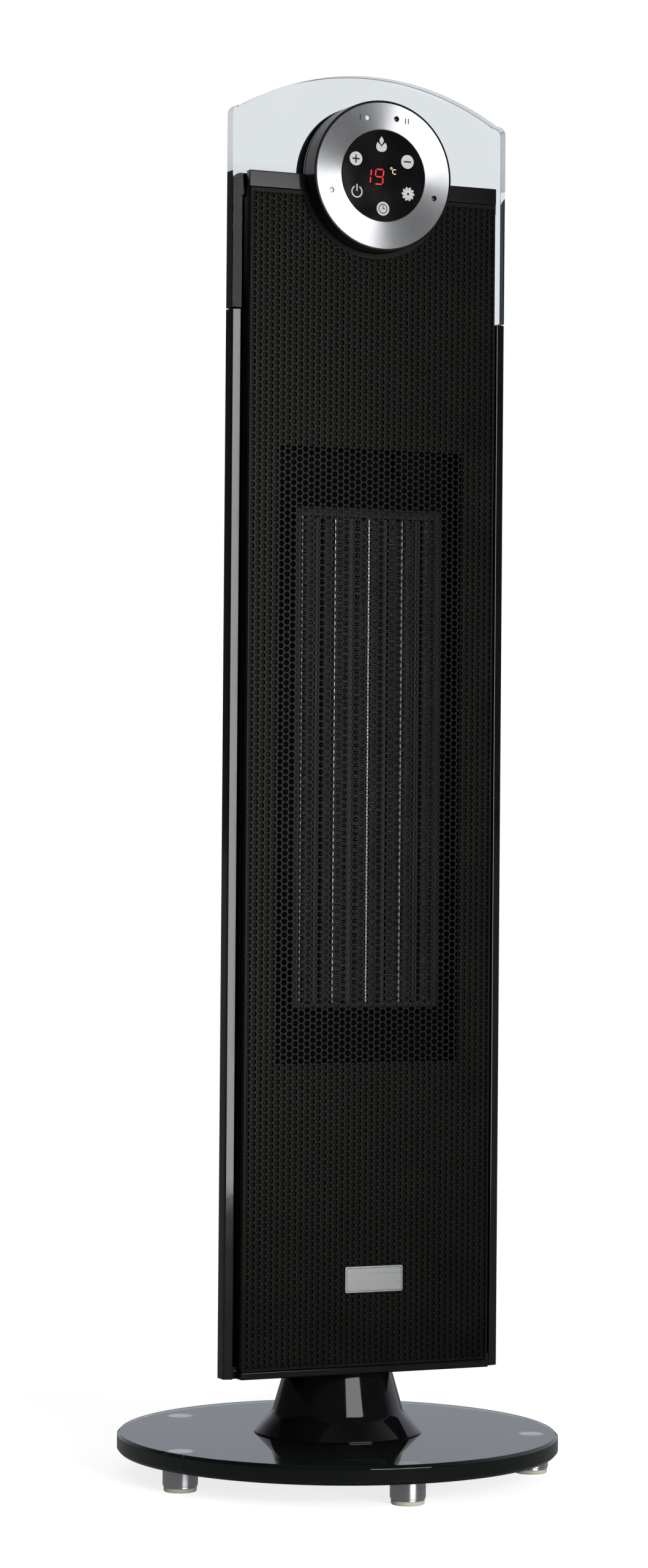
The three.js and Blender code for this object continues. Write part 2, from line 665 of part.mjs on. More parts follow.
function dialHousing() {
  const front = -dial.frontDepth;
  const shoulder = -slab.frontDepth - fitGap;
  const seatFront = dialSeatFront();
  const bore = dial.neckRadius - wall;
  const rim = ring.outer + fitGap;
  const profile = [
    [0, seatFront], [rim, seatFront], [rim, front], [dial.radius, front], [dial.radius, shoulder],
    [dial.neckRadius, shoulder], [dial.neckRadius, -dial.backDepth], [bore, -dial.backDepth],
    [bore, seatFront + dial.seat], [0, seatFront + dial.seat],
  ];
  return turnedFacing(profile, roundSteps);
}

function dialRing() {
  const front = -dial.frontDepth;
  const back = front + ring.thickness;
  const disc = turnedFacing(tubeProfile(ring.inner, ring.outer, front, back), roundSteps);
  const drills = lens.angles.map((degrees) => {
    const [x, z] = ringAt(THREE.MathUtils.degToRad(degrees), lens.circle);
    return rodFacing(lens.radius, front - overrun, back + overrun, tinySteps).translate(x, 0, z);
  });
  return cut(disc, ...drills);
}

function buildDial(tower) {
  const knob = new THREE.Group();
  knob.position.set(0, 0, dial.z);
  tower.add(knob);
  const front = -dial.frontDepth;
  part(knob, 'dial_housing', dialHousing(), looks.glossBlack);
  part(knob, 'dial_ring', dialRing(), looks.aluminium);
  const panelFront = front + touch.sink;
  const panelBack = front + ring.thickness + touch.sink;
  part(knob, 'touch_panel', rodFacing(touch.radius, panelFront, panelBack, roundSteps), looks.glossBlack);
  const clampFront = slabBack() + fitGap;
  const clamp = tubeProfile(dial.neckRadius + fitGap, dial.radius, clampFront, -dial.backDepth);
  part(knob, 'dial_clamp_ring', turnedFacing(clamp, roundSteps), looks.satinBlack);
  const boardFront = dialSeatFront() + dial.seat + fitGap;
  const plate = rodFacing(board.radius, boardFront, boardFront + board.thickness, smallSteps);
  part(knob, 'control_board', plate, looks.board);
}

// Heating core. A fin plate is a comb: a thin plate with short fins towards the bars beside it
function finPlate(index) {
  const sides = [-1, 1].filter((side) => {
    const next = index + side;
    return next >= 0 && next < core.plates;
  });
  const bottom = core.bottom + fitGap;
  const top = core.top - fitGap;
  const half = core.plate / 2;
  const reach = core.spacing / 2 - bar.width / 2 - fitGap;
  const pitch = (top - bottom) / fin.count;
  const edge = (side) => {
    const rows = [];
    if (!sides.includes(side)) return [[side * half, bottom], [side * half, top]];
    for (let i = 0; i < fin.count; i++) {
      const middle = bottom + (i + 1 / 2) * pitch;
      rows.push([side * half, middle - fin.thickness / 2], [side * reach, middle - fin.thickness / 2]);
      rows.push([side * reach, middle + fin.thickness / 2], [side * half, middle + fin.thickness / 2]);
    }
    return [[side * half, bottom], ...rows, [side * half, top]];
  };
  const outline = [...edge(1), ...edge(-1).reverse()];
  return facing(new THREE.Shape(points(outline)), -core.depth, -core.depth + core.thickness);
}

function heaterFrame() {
  const { endGap, rimWall, flange, flangeHalfWidth, reach } = coreFrame;
  const halfWidth = ((core.plates - 1) * core.spacing + core.plate) / 2 + endGap + rimWall;
  const opening = rectangle(rimWall - halfWidth, halfWidth - rimWall, core.bottom, core.top);
  const rimBottom = core.bottom - coreFrame.rimBelow;
  const rimShape = rectangle(-halfWidth, halfWidth, rimBottom, core.top + coreFrame.rimAbove);
  rimShape.holes.push(opening);
  const flangeShape = rectangle(-flangeHalfWidth, flangeHalfWidth, core.bottom - reach, core.top + reach);
  flangeShape.holes.push(opening);
  const front = -core.depth;
  const back = front + core.thickness + flange;
  return join(facing(rimShape, front, back), facing(flangeShape, back - flange, back));
}

function buildHeatingCore(tower) {
  part(tower, 'heater_frame', heaterFrame(), looks.greyPlastic);
  for (let i = 0; i < core.plates; i++) {
    const plate = part(tower, `fin_plate_${i + 1}`, finPlate(i), looks.aluminium);
    plate.position.x = (i - (core.plates - 1) / 2) * core.spacing;
  }
  for (let i = 0; i < core.plates - 1; i++) {
    const front = -core.depth + (core.thickness - bar.depth) / 2;
    const half = bar.width / 2;
    const heater = block(-half, half, front, front + bar.depth, core.bottom + fitGap, core.top - fitGap);
    const mesh = part(tower, `heating_bar_${i + 1}`, heater, looks.aluminium);
    mesh.position.x = (i - (core.plates - 2) / 2) * core.spacing;
  }
  const back = -core.depth + core.thickness - fitGap;
  const can = rodFacing(cutout.radius, back - cutout.height, back, tinySteps);
  const mesh = part(tower, 'thermal_cutout', can, looks.steel);
  mesh.position.set(cutout.x, 0, core.top + cutout.above);
}

// Cross-flow fan
function fanRotor() {
  const { radius, bottom, top, disc: discHeight, shaft } = fan;
  const shaftBottom = bottom - duct.endGap - duct.end - motor.boreDepth + fitGap + runGap;
  const shaftTop = top + duct.endGap + rotorBearing.height;
  const hub = turned([
    [0, shaftBottom], [shaft, shaftBottom], [shaft, bottom], [radius, bottom], [radius, bottom + discHeight],
    [shaft, bottom + discHeight], [shaft, top - discHeight], [radius, top - discHeight], [radius, top],
    [shaft, top], [shaft, shaftTop], [0, shaftTop],
  ], smallSteps);
  const rim = radius * Math.cos(Math.PI / smallSteps) - fitGap;
  const middle = [(blade.inner + rim) / 2, blade.sweep * fanShare.bend];
  const stations = [[blade.inner, 0], middle, [rim, blade.sweep]];
  const shapes = [];
  for (let i = 0; i < fan.blades; i++) {
    const turn = (i / fan.blades) * 2 * Math.PI;
    const half = blade.thickness / 2;
    const front = stations.map(([r, a]) => ringAt(turn + a + half / r, r));
    const back = stations.map(([r, a]) => ringAt(turn + a - half / r, r));
    shapes.push(new THREE.Shape(points([...back, ...front.reverse()])));
  }
  return join(hub, upright(shapes, bottom + discHeight / 2, top - discHeight / 2));
}

function spiral(offset) {
  const start = fan.radius + duct.tipGap;
  const mouthY = ductFront() - fan.y;
  const end = Math.hypot(duct.mouth, mouthY);
  const endAngle = Math.PI + Math.atan2(-mouthY, duct.mouth);
  const growth = Math.log(end / start) / (endAngle - ductStart);
  const rows = [];
  for (let i = 0; i <= duct.steps; i++) {
    const angle = ductStart + (i / duct.steps) * (endAngle - ductStart);
    rows.push(ringAt(angle, start * Math.exp(growth * (angle - ductStart)) + offset));
  }
  return rows;
}

function ductFront() {
  return -core.depth + core.thickness + coreFrame.flange + fitGap;
}

function airDuct() {
  const bottom = fan.bottom - duct.endGap;
  const top = fan.top + duct.endGap;
  const front = ductFront() - fan.y;
  const inner = spiral(0);
  const outer = spiral(duct.wall);
  outer[outer.length - 1][1] = front;
  const scroll = new THREE.Shape(points([...inner, ...outer.reverse()]));
  const near = fan.radius + duct.tipGap;
  const tip = ringAt(tongueAngle, near);
  const tipOut = ringAt(tongueAngle + duct.wall / near, near + duct.wall);
  const mouth = duct.mouth;
  const tongue = new THREE.Shape(points([tip, [mouth, front], [mouth + duct.wall, front], tipOut]));
  const endShape = new THREE.Shape(points([...inner, [mouth, front], tip]));
  endShape.absarc(0, 0, near, tongueAngle, ductStart, false);
  const shaftHole = polygonHole(0, 0, rotorBearing.outer + fitGap, tinySteps, 0);
  endShape.holes.push(shaftHole);
  const walls = [
    upright(scroll, bottom - duct.end, top + duct.end),
    upright(tongue, bottom - duct.end, top + duct.end),
    upright(endShape, bottom - duct.end, bottom, endSteps),
    upright(endShape, top, top + duct.end, endSteps),
  ];
  const flangeTop = core.top + coreFrame.reach + duct.rim;
  const flangeBottom = core.bottom - coreFrame.reach - duct.rim;
  const flange = rectangle(-duct.flangeHalfWidth, duct.flangeHalfWidth, flangeBottom, flangeTop);
  flange.holes.push(rectangle(-mouth, mouth, bottom, top));
  const plate = facing(flange, front, front + duct.flange);
  const bosses = [];
  const bossFront = frontFrame.thickness - frontFrame.depth + fitGap - fan.y;
  for (const side of [-1, 1]) {
    for (const z of [flangeBottom + duct.rim / 2, flangeTop - duct.rim / 2]) {
      const x = side * (duct.flangeHalfWidth - boss.inset);
      bosses.push(rodFacing(boss.radius, bossFront, front + duct.flange / 2, tinySteps).translate(x, 0, z));
    }
  }
  return join(plate, ...walls, ...bosses);
}

function fanMotor() {
  const top = fan.bottom - duct.endGap - duct.end - fitGap;
  const { radius, height, bore, boreDepth, tail, tailRadius } = motor;
  return turned([
    [0, top - height], [tailRadius, top - height], [tailRadius, top - height + tail],
    [radius, top - height + tail], [radius, top], [bore, top], [bore, top - boreDepth], [0, top - boreDepth],
  ], smallSteps);
}

function topBearing() {
  const seat = fan.top + duct.endGap + duct.end + fitGap;
  const bore = fan.shaft + fitGap;
  const { outer, height, flange, flangeHeight } = rotorBearing;
  return turned([
    [outer, seat - duct.end], [outer, seat], [flange, seat], [flange, seat + flangeHeight],
    [bore, seat + flangeHeight], [bore, seat + flangeHeight - height], [outer, seat - duct.end],
  ], tinySteps);
}

function buildFan(tower) {
  const group = new THREE.Group();
  group.position.set(0, fan.y, 0);
  tower.add(group);
  part(group, 'fan_rotor', fanRotor(), looks.greyPlastic);
  part(group, 'air_duct', airDuct(), looks.greyPlastic);
  part(group, 'fan_motor', fanMotor(), looks.steel);
  part(group, 'rotor_bearing', topBearing(), looks.nylon);
}

// Electrical pieces in the tower's foot, and the rocker switch
function bezelBody() {
  const back = housing.back + bezel.stand;
  const frame = block(-bezel.width / 2, bezel.width / 2, back - bezel.flange, back,
    rocker.z - bezel.height / 2, rocker.z + bezel.height / 2);
  const half = bezel.width / 2 - bezel.wall;
  const tall = bezel.height / 2 - bezel.wall;
  const canFront = back - bezel.bodyDepth;
  const can = block(-half, half, canFront, back - bezel.flange / 2, rocker.z - tall, rocker.z + tall);
  const room = rocker.width / 2 + fitGap;
  const high = rocker.height / 2 + fitGap;
  const wellFront = back - bezel.bodyDepth / 2;
  const well = block(-room, room, wellFront, back + overrun, rocker.z - high, rocker.z + high);
  return cut(join(frame, can), well);
}

function rockerCap() {
  const half = rocker.height / 2;
  const rise = half * Math.sin(rockerTilt);
  const shape = new THREE.Shape(points([
    [-rocker.thickness, -half * Math.cos(rockerTilt)], [rise, -half * Math.cos(rockerTilt)], [0, 0],
    [rise, half * Math.cos(rockerTilt)], [-rocker.thickness, half * Math.cos(rockerTilt)],
  ]));
  const options = { depth: rocker.width, bevelEnabled: false };
  const geometry = new THREE.ExtrudeGeometry(shape, options).translate(0, 0, -rocker.width / 2);
  return geometry.rotateZ(Math.PI / 2).rotateY(Math.PI / 2).rotateZ(Math.PI);
}

function buildElectrics(tower) {
  const floorTop = floorPlate.bottom + floorPlate.thickness + fitGap;
  const { halfWidth, thickness, height, depth } = powerBoard;
  const pcb = block(-halfWidth, halfWidth, -depth, thickness - depth, floorTop, floorTop + height);
  part(tower, 'power_board', pcb, looks.board);
  const [across, deep] = [tilt.width / 2, tilt.depth / 2];
  const box = block(-across, across, -deep, deep, floorTop, floorTop + tilt.height);
  const sensor = part(tower, 'tilt_switch', box, looks.greyPlastic);
  sensor.position.set(tilt.x, tilt.y, 0);
  part(tower, 'rocker_bezel', bezelBody(), looks.satinBlack);
  const key = part(tower, 'power_rocker', rockerCap(), looks.glossBlack);
  key.position.set(0, housing.back + bezel.stand - rocker.pivotOut, rocker.z);
  key.rotation.x = rockerTilt;
}

// Mains cord
function along(side, distance, z) {
  const [x, y] = ringAt(hankHeading, distance);
  const [sideX, sideY] = ringAt(hankHeading - Math.PI / 2, side);
  return new THREE.Vector3(x + sideX, y + sideY, z);
}

function cordTube(route) {
  const path = new THREE.CatmullRomCurve3(route.map((p) => new THREE.Vector3(...p)), false, 'centripetal');
  const steps = Math.ceil(path.getLength() / (2 * cord.diameter));
  const section = new THREE.Shape(polygonHole(0, 0, cord.diameter / 2, cord.sides, 0).getPoints());
  return new THREE.ExtrudeGeometry(section, { steps, extrudePath: path, bevelEnabled: false });
}

// A turn of the hank is a run away from the foot, a fold, a run back and a fold. The turns draw in towards
// the middle and out again, and step down one layer along a run each time the spiral reverses.
function hankSpread(turn) {
  const next = Math.max(1, hankDraw.findIndex(([at]) => turn <= at));
  const [[from, low], [to, high]] = [hankDraw[next - 1], hankDraw[next]];
  const out = low + ((turn - from) / (to - from)) * (high - low);
  return hank.halfWidth + (out - 1) * hank.pitch;
}

function hankLayer(turn) {
  const dropped = hankDrops.map((start) => THREE.MathUtils.clamp((turn - start) * hankTurn.quarters, 0, 1));
  return hankTurn.layers - 1 - dropped.reduce((sum, share) => sum + share, 0);
}

function hankStops() {
  const stops = [];
  for (let quarter = 0; quarter < hankTurn.turns * hankTurn.quarters; quarter++) {
    const steps = quarter % 2 ? hankTurn.foldSteps : hankTurn.runSteps;
    for (let i = 0; i < steps; i++) stops.push((quarter + i / steps) / hankTurn.quarters);
  }
  return [...stops, hankTurn.turns];
}

function hankLine() {
  return hankStops().map((turn) => {
    const passed = Math.floor(turn * hankTurn.quarters + weld);
    const quarter = passed % hankTurn.quarters;
    const share = turn * hankTurn.quarters - passed;
    const spread = hankSpread(turn);
    const last = turn === hankTurn.turns;
    const away = last ? 1 : 2 * share - 1;
    const draw = hank.waist * (1 - away * away) ** 2;
    const sign = quarter === 0 || last ? 1 : -1;
    const turnSign = quarter === 1 ? 1 : -1;
    const fold = share * Math.PI;
    const run = quarter % 2 === 0 || last;
    const side = run ? -sign * (spread - draw) : -turnSign * spread * Math.cos(fold);
    const foldOut = turnSign * (hank.foldCentre + spread * Math.sin(fold));
    const distance = run ? sign * away * hank.foldCentre : foldOut;
    const z = hankFloor() + cord.diameter / 2 + hankLayer(turn) * hank.layerPitch;
    return along(hank.side + side, hank.centre + distance, z);
  });
}

function hankFloor() {
  return tie.thickness + fitGap;
}

// Tube of six sides along a line of points, its rings upright and square to the line
function ringTube(line, radius, sides) {
  const positions = [];
  const index = [];
  line.forEach((point, i) => {
    const before = line[Math.max(0, i - 1)];
    const after = line[Math.min(line.length - 1, i + 1)];
    const heading = after.clone().sub(before).normalize();
    const sideways = new THREE.Vector3(-heading.y, heading.x, 0).normalize();
    const up = heading.clone().cross(sideways);
    for (let k = 0; k < sides; k++) {
      const angle = ((k + 1 / 2) / sides) * 2 * Math.PI;
      const spot = point.clone().addScaledVector(sideways, radius * Math.cos(angle));
      spot.addScaledVector(up, radius * Math.sin(angle));
      positions.push(spot.x, spot.y, spot.z);
    }
  });
  for (let i = 0; i + 1 < line.length; i++) {
    for (let k = 0; k < sides; k++) {
      const [a, b] = [i * sides + k, i * sides + ((k + 1) % sides)];
      index.push(a, b, b + sides, a, b + sides, a + sides);
    }
  }
  const end = (line.length - 1) * sides;
  for (let k = 1; k + 1 < sides; k++) {
    index.push(0, k + 1, k, end, end + k, end + k + 1);
  }
  const geometry = new THREE.BufferGeometry();
  geometry.setAttribute('position', new THREE.Float32BufferAttribute(positions, 3));
  geometry.setIndex(index);
  geometry.computeVertexNormals();
  return geometry;
}

function lengthOf(line) {
  let length = 0;
  for (let i = 1; i < line.length; i++) length += line[i].distanceTo(line[i - 1]);
  return length;
}

// Least gap of the winding to itself, between stretches more than a third of a turn apart
function leastGap(line) {
  const fine = new THREE.CatmullRomCurve3(line, false, 'centripetal').getPoints(line.length * gapTest.finer);
  const apart = Math.round((fine.length / hankTurn.turns) * gapTest.apartShare);
  let least = Infinity;
  for (let i = 0; i < fine.length; i++) {
    for (let k = i + apart; k < fine.length; k++) least = Math.min(least, fine[i].distanceTo(fine[k]));
  }
  return least - cord.diameter;
}

function cordTie() {
  const side = hank.halfWidth + hank.pitch / hankTurn.quarters - hank.waist + cord.diameter / 2 + tie.clearance;
  const top = hankFloor() + (hankTurn.layers - 1) * hank.layerPitch + cord.diameter + tie.clearance;
  const outer = rectangle(-side - tie.thickness, side + tie.thickness, 0, top + tie.thickness);
  outer.holes.push(rectangle(-side, side, tie.thickness, top));
  return facing(outer, -tie.width / 2, tie.width / 2);
}

// Three-pin plug lying on its back, pins up, with its cord coming in at one edge
function mainsPlug() {
  const face = new THREE.Shape();
  const half = plug.width / 2;
  const round = plugFace.cornerRound;
  face.moveTo(-half + round, 0);
  face.lineTo(half - round, 0);
  face.quadraticCurveTo(half, 0, half, round);
  face.lineTo(half, plug.length - 2 * round);
  face.quadraticCurveTo(half, plug.length, half - 2 * round, plug.length);
  face.lineTo(-half + 2 * round, plug.length);
  face.quadraticCurveTo(-half, plug.length, -half, plug.length - 2 * round);
  face.lineTo(-half, round);
  face.quadraticCurveTo(-half, 0, -half + round, 0);
  const faceBottom = plug.height - plugFace.thickness;
  const flange = upright(face, faceBottom, plug.height, cornerSteps);
  const grip = upright(face, 0, faceBottom + fitGap, cornerSteps);
  const shrink = (plug.width - 2 * plugFace.gripInset) / plug.width;
  grip.translate(0, -plug.length / 2, 0).scale(shrink, shrink, 1).translate(0, plug.length / 2, 0);
  const cone = turnedFacing([
    [0, -plug.reliefLength], [plug.reliefTip, -plug.reliefLength],
    [plug.reliefRoot, plugFace.gripInset + overrun], [0, plugFace.gripInset + overrun],
  ], tinySteps).translate(0, 0, plugFace.cordHeight);
  const pin = (x, y, width, depth, length) => block(x - width / 2, x + width / 2, y - depth / 2, y + depth / 2,
    plug.height - fitGap, plug.height + length);
  const live = pins.setIn;
  const flat = (side) => pin(side * pins.spacing / 2, live, pins.flatWidth, pins.thickness, pins.flatLength);
  const flats = [-1, 1].map(flat);
  const earth = pin(0, live + pins.spacing, pins.thickness, pins.earthWidth, pins.earthLength);
  return join(flange, grip, cone, ...flats, earth);
}

function strainRelief() {
  const inside = cordExit.y - relief.plugLength;
  const headFront = cordExit.y + fitGap;
  const end = headFront + relief.length;
  return turnedFacing([
    [0, inside], [relief.shank, inside], [relief.shank, headFront], [relief.head, headFront],
    [relief.head, headFront + relief.headHeight], [relief.tip, end], [0, end],
  ], tinySteps).translate(0, 0, cordExit.z);
}

function buildCord(base) {
  part(base, 'cord_strain_relief', strainRelief(), looks.cordBlack);
  part(base, 'mains_cord_lead', cordTube(leadRoute), looks.cordBlack);
  const line = hankLine();
  part(base, 'mains_cord_hank', ringTube(line, cord.diameter / 2, hank.sides), looks.cordBlack);
  part(base, 'mains_cord_tail', cordTube(tailRoute), looks.cordBlack);
  const band = part(base, 'cord_tie', cordTie(), looks.satinBlack);
  band.position.copy(along(hank.side, hank.centre, 0));
  band.rotation.z = hankHeading - Math.PI / 2;
  const end = part(base, 'mains_plug', mainsPlug(), looks.cordBlack);
  end.position.copy(along(0, plug.start + plug.reliefLength, 0));
  end.rotation.z = hankHeading - Math.PI / 2;
  const routes = [leadRoute, tailRoute].map((route) => lengthOf(route.map((p) => new THREE.Vector3(...p))));
  const total = routes[0] + routes[1] + lengthOf(line);
  const gap = leastGap(line);
  console.log(`cord: ${total.toFixed(0)} mm long, least gap of the hank to itself ${gap.toFixed(2)} mm`);
}

const heater = new THREE.Group();
const base = new THREE.Group();
const tower = new THREE.Group();
heater.add(base, tower);
buildFoot(base);
buildNeck(base);
buildSwingDrive(base, tower);
buildCasing(tower);
buildDial(tower);
buildHeatingCore(tower);
buildFan(tower);
buildElectrics(tower);
buildCord(base);

export default heater;
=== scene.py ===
from math import asin, cos, degrees, hypot, pi, radians, sin, sqrt

import bmesh
import bpy
from mathutils import Matrix, Vector


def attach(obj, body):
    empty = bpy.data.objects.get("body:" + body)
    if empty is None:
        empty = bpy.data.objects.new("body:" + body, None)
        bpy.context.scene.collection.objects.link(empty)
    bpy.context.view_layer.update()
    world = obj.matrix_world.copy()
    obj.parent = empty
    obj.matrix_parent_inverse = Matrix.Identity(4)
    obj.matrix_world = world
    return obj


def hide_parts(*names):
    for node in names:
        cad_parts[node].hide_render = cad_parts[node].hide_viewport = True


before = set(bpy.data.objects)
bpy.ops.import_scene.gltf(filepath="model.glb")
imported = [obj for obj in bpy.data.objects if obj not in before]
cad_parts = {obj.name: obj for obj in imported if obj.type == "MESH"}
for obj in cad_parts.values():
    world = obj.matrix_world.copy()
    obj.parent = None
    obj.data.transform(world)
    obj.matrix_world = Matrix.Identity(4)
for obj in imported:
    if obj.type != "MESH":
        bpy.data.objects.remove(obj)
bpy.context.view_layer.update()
scene = bpy.context.scene
mm = 0.001
sides = ((-1, "left"), (1, "right"))


def addObject(name, data):
    piece = bpy.data.objects.new(name, data)
    scene.collection.objects.link(piece)
    return piece


# Camera at the photograph's viewing angle: a place and the directions to its right and ahead
camera = {
    "place": (-0.893638, -1.943683, 0.350427),
    "ahead": (0.413504, 0.91047, 0.007661),
    "right": (0.910443, -0.413559, 0.007954),
    "focalLength": 91.9812,  # millimetres, for the sensor's size along the image's long side
    "sensor": 36,
}


def placeCamera():
    ahead, right = Vector(camera["ahead"]).normalized(), Vector(camera["right"]).normalized()
    data = bpy.data.cameras.new("viewCamera")
    data.lens, data.sensor_width = camera["focalLength"], camera["sensor"]
    scene.camera = addObject("viewCamera", data)
    turn = Matrix((right, right.cross(ahead), -ahead)).transposed().to_4x4()
    scene.camera.matrix_world = Matrix.Translation(camera["place"]) @ turn


# Mesh making: lengths are in millimetres, and addMesh turns them into metres
def addMesh(name, points, faces):
    mesh = bpy.data.meshes.new(name)
    mesh.from_pydata([[c * mm for c in p] for p in points], [], faces)
    mesh.update()
    return addObject(name, mesh)


def mendNormals(piece):
    shape = bmesh.new()
    shape.from_mesh(piece.data)
    bmesh.ops.remove_doubles(shape, verts=shape.verts, dist=1e-6)
    bmesh.ops.recalc_face_normals(shape, faces=shape.faces)
    shape.to_mesh(piece.data)
    shape.free()
    return piece


def smooth(piece, angle=30):
    piece.data.shade_smooth()
    piece.data.set_sharp_from_angle(angle=radians(angle))
    return piece


def bakeModifiers(piece):
    bpy.context.view_layer.update()
    seen = bpy.context.evaluated_depsgraph_get()
    mesh = bpy.data.meshes.new_from_object(piece.evaluated_get(seen))
    piece.modifiers.clear()
    piece.data = mesh
    return piece


def roundEdges(piece, width, segments=2):
    edge = piece.modifiers.new("roundedEdge", "BEVEL")
    edge.width, edge.segments = width * mm, segments
    edge.limit_method = "ANGLE"
    edge.angle_limit = radians(40)
    edge.harden_normals = True
    piece.data.shade_smooth()
    return bakeModifiers(piece)


def carve(piece, *tools):
    for tool in tools:
        knife = piece.modifiers.new("carve", "BOOLEAN")
        knife.operation, knife.solver, knife.object = "DIFFERENCE", "EXACT", tool
        bakeModifiers(piece)
        bpy.data.objects.remove(tool)
    return piece


def joinPieces(name, pieces):
    shape = bmesh.new()
    for piece in pieces:
        shape.from_mesh(piece.data)
        bpy.data.objects.remove(piece)
    mesh = bpy.data.meshes.new(name)
    shape.to_mesh(mesh)
    shape.free()
    return addObject(name, mesh)


# A profile of radii and heights turned about an axis. Where it ends at its first point, it is a ring
def lathe(name, profile, steps, axis="Z", centre=(0, 0, 0)):
    closed = profile[0] == profile[-1]
    rings, points, faces = [], [], []
    for radius, height in profile[:-1] if closed else profile:
        ring = []
        for i in range(steps if radius else 1):
            a = 2 * pi * i / steps
            x, y = radius * cos(a), radius * sin(a)
            ring.append(len(points))
            points.append([s + c for s, c in zip((x, y, height) if axis == "Z" else (x, height, y), centre)])
        rings.append(ring)
    for low, high in zip(rings, rings[1:] + rings[:1] if closed else rings[1:]):
        for i in range(steps):
            k = (i + 1) % steps
            corners = [low[i % len(low)], low[k % len(low)], high[k % len(high)], high[i % len(high)]]
            if len(set(corners)) > 2:
                faces.append(list(dict.fromkeys(corners)))
    return mendNormals(addMesh(name, points, faces))


def rod(name, radius, low, high, steps, centre):
    return lathe(name, [(0, low), (radius, low), (radius, high), (0, high)], steps, "Y", centre)


# A flat outline pushed along an axis. "Z" outlines are seen from above, "Y" outlines from the front
def prism(name, outline, low, high, axis="Z"):
    count = len(outline)
    points = [(a, b, level) if axis == "Z" else (a, level, b) for level in (low, high) for a, b in outline]
    faces = [list(range(count)), [count + i for i in reversed(range(count))]]
    faces += [[i, (i + 1) % count, count + (i + 1) % count, count + i] for i in range(count)]
    return mendNormals(addMesh(name, points, faces))


# A frame between two outlines that have the same number of points, seen from the front
def ringPrism(name, outer, inner, low, high):
    count = len(outer)
    points = [(a, level, b) for level in (low, high) for line in (outer, inner) for a, b in line]
    loops = [0, count, 3 * count, 2 * count]
    faces = []
    for i in range(count):
        k = (i + 1) % count
        faces += [[a + i, a + k, b + k, b + i] for a, b in zip(loops, loops[1:] + loops[:1])]
    return mendNormals(addMesh(name, points, faces))


def box(name, left, right, front, back, bottom, top):
    return prism(name, [(left, front), (right, front), (right, back), (left, back)], bottom, top)


# A box about a middle seen from above
def block(name, x, y, width, depth, bottom, top):
    return box(name, x - width / 2, x + width / 2, y - depth / 2, y + depth / 2, bottom, top)


def arc(centreX, centreY, radius, start, end, steps):
    turns = [radians(start + (end - start) * i / steps) for i in range(steps + 1)]
    return [(centreX + radius * cos(a), centreY + radius * sin(a)) for a in turns]


def roundedRectangle(left, right, bottom, top, radius, steps=5):
    line = []
    for i, (x, y) in enumerate(((right - radius, bottom + radius), (right - radius, top - radius),
                                (left + radius, top - radius), (left + radius, bottom + radius))):
        line += arc(x, y, radius, 90 * i - 90, 90 * i, steps)
    return line


def bezier(points, steps):
    line = []
    for i in range(steps + 1):
        row = [Vector(p) for p in points]
        while len(row) > 1:
            row = [a.lerp(b, i / steps) for a, b in zip(row, row[1:])]
        line.append(tuple(row[0]))
    return line


def sided(side, line):
    return [(side * x, y) for x, y in line]


def mirrored(line):
    return sided(-1, reversed(line))


def finishPiece(piece, body, material, slot, *replaced):
    piece.data.materials.clear()
    piece.data.materials.append(finish[material])
    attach(piece, body)
    if replaced:
        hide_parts(*replaced)
    return piece


# More materials for some faces: pick says which one a face with this normal and middle has
def finishFaces(piece, others, pick):
    for other in others:
        piece.data.materials.append(finish[other])
    for face in piece.data.polygons:
        face.material_index = pick(face.normal, face.center / mm)


# Node trees: a small helper that adds nodes and feeds their sockets
class NodeDesk:
    def __init__(self, tree):
        self.tree = tree

    def add(self, kind, feeds=None, **settings):
        node = self.tree.nodes.new(kind)
        for key, value in settings.items():
            setattr(node, key, value)
        for key, value in (feeds or {}).items():
            self.feed(node.inputs[key], value)
        return node

    def feed(self, socket, value):
        if isinstance(value, Value):
            self.tree.links.new(value.socket, socket)
        else:
            socket.default_value = value

    def geo(self, kind, feeds=None, **settings):
        return Value(self, self.add("GeometryNode" + kind, feeds, **settings).outputs[0])

    def shade(self, kind, feeds=None, **settings):
        return Value(self, self.add("ShaderNode" + kind, feeds, **settings).outputs[0])

    def reads(self, kind):
        return {socket.name: Value(self, socket) for socket in self.add(kind).outputs}

    def vector(self, x, y, z):
        return self.shade("CombineXYZ", {0: x, 1: y, 2: z})

    def split(self, value):
        return [Value(self, socket) for socket in self.add("ShaderNodeSeparateXYZ", {0: value}).outputs]


# A node's output: each sum or product with it adds a math node
class Value:
    def __init__(self, desk, socket):
        self.desk, self.socket = desk, socket

    def math(self, operation, *others):
        return self.desk.shade("Math", dict(enumerate((self, *others))), operation=operation)

    def __add__(self, other):
        return self.math("ADD", other)

    def __sub__(self, other):
        return self.math("SUBTRACT", other)

    def __rsub__(self, other):
        return self.desk.shade("Math", {0: other, 1: self}, operation="SUBTRACT")

    def __mul__(self, other):
        return self.math("MULTIPLY", other)

    def __truediv__(self, other):
        return self.math("DIVIDE", other)


def length(x, y):
    return (x * x + y * y).math("SQRT")


def newGeometryTree(name, **inputs):
    tree = bpy.data.node_groups.new(name, "GeometryNodeTree")
    for kind, labels in {"Geometry": ["geometry"], "Material": ["material"], **inputs}.items():
        for label in labels:
            tree.interface.new_socket(label, in_out="INPUT", socket_type="NodeSocket" + kind)
    tree.interface.new_socket("geometry", in_out="OUTPUT", socket_type="NodeSocketGeometry")
    desk = NodeDesk(tree)
    return desk, desk.reads("NodeGroupInput")


def endGeometryTree(desk, geometry, material):
    real = desk.geo("RealizeInstances", {"Geometry": geometry})
    desk.add("NodeGroupOutput", {0: desk.geo("SetMaterial", {"Geometry": real, "Material": material})})
    return desk.tree


def merge(desk, geometry, distance):
    return desk.geo("MergeByDistance", {"Geometry": geometry, "Distance": distance})


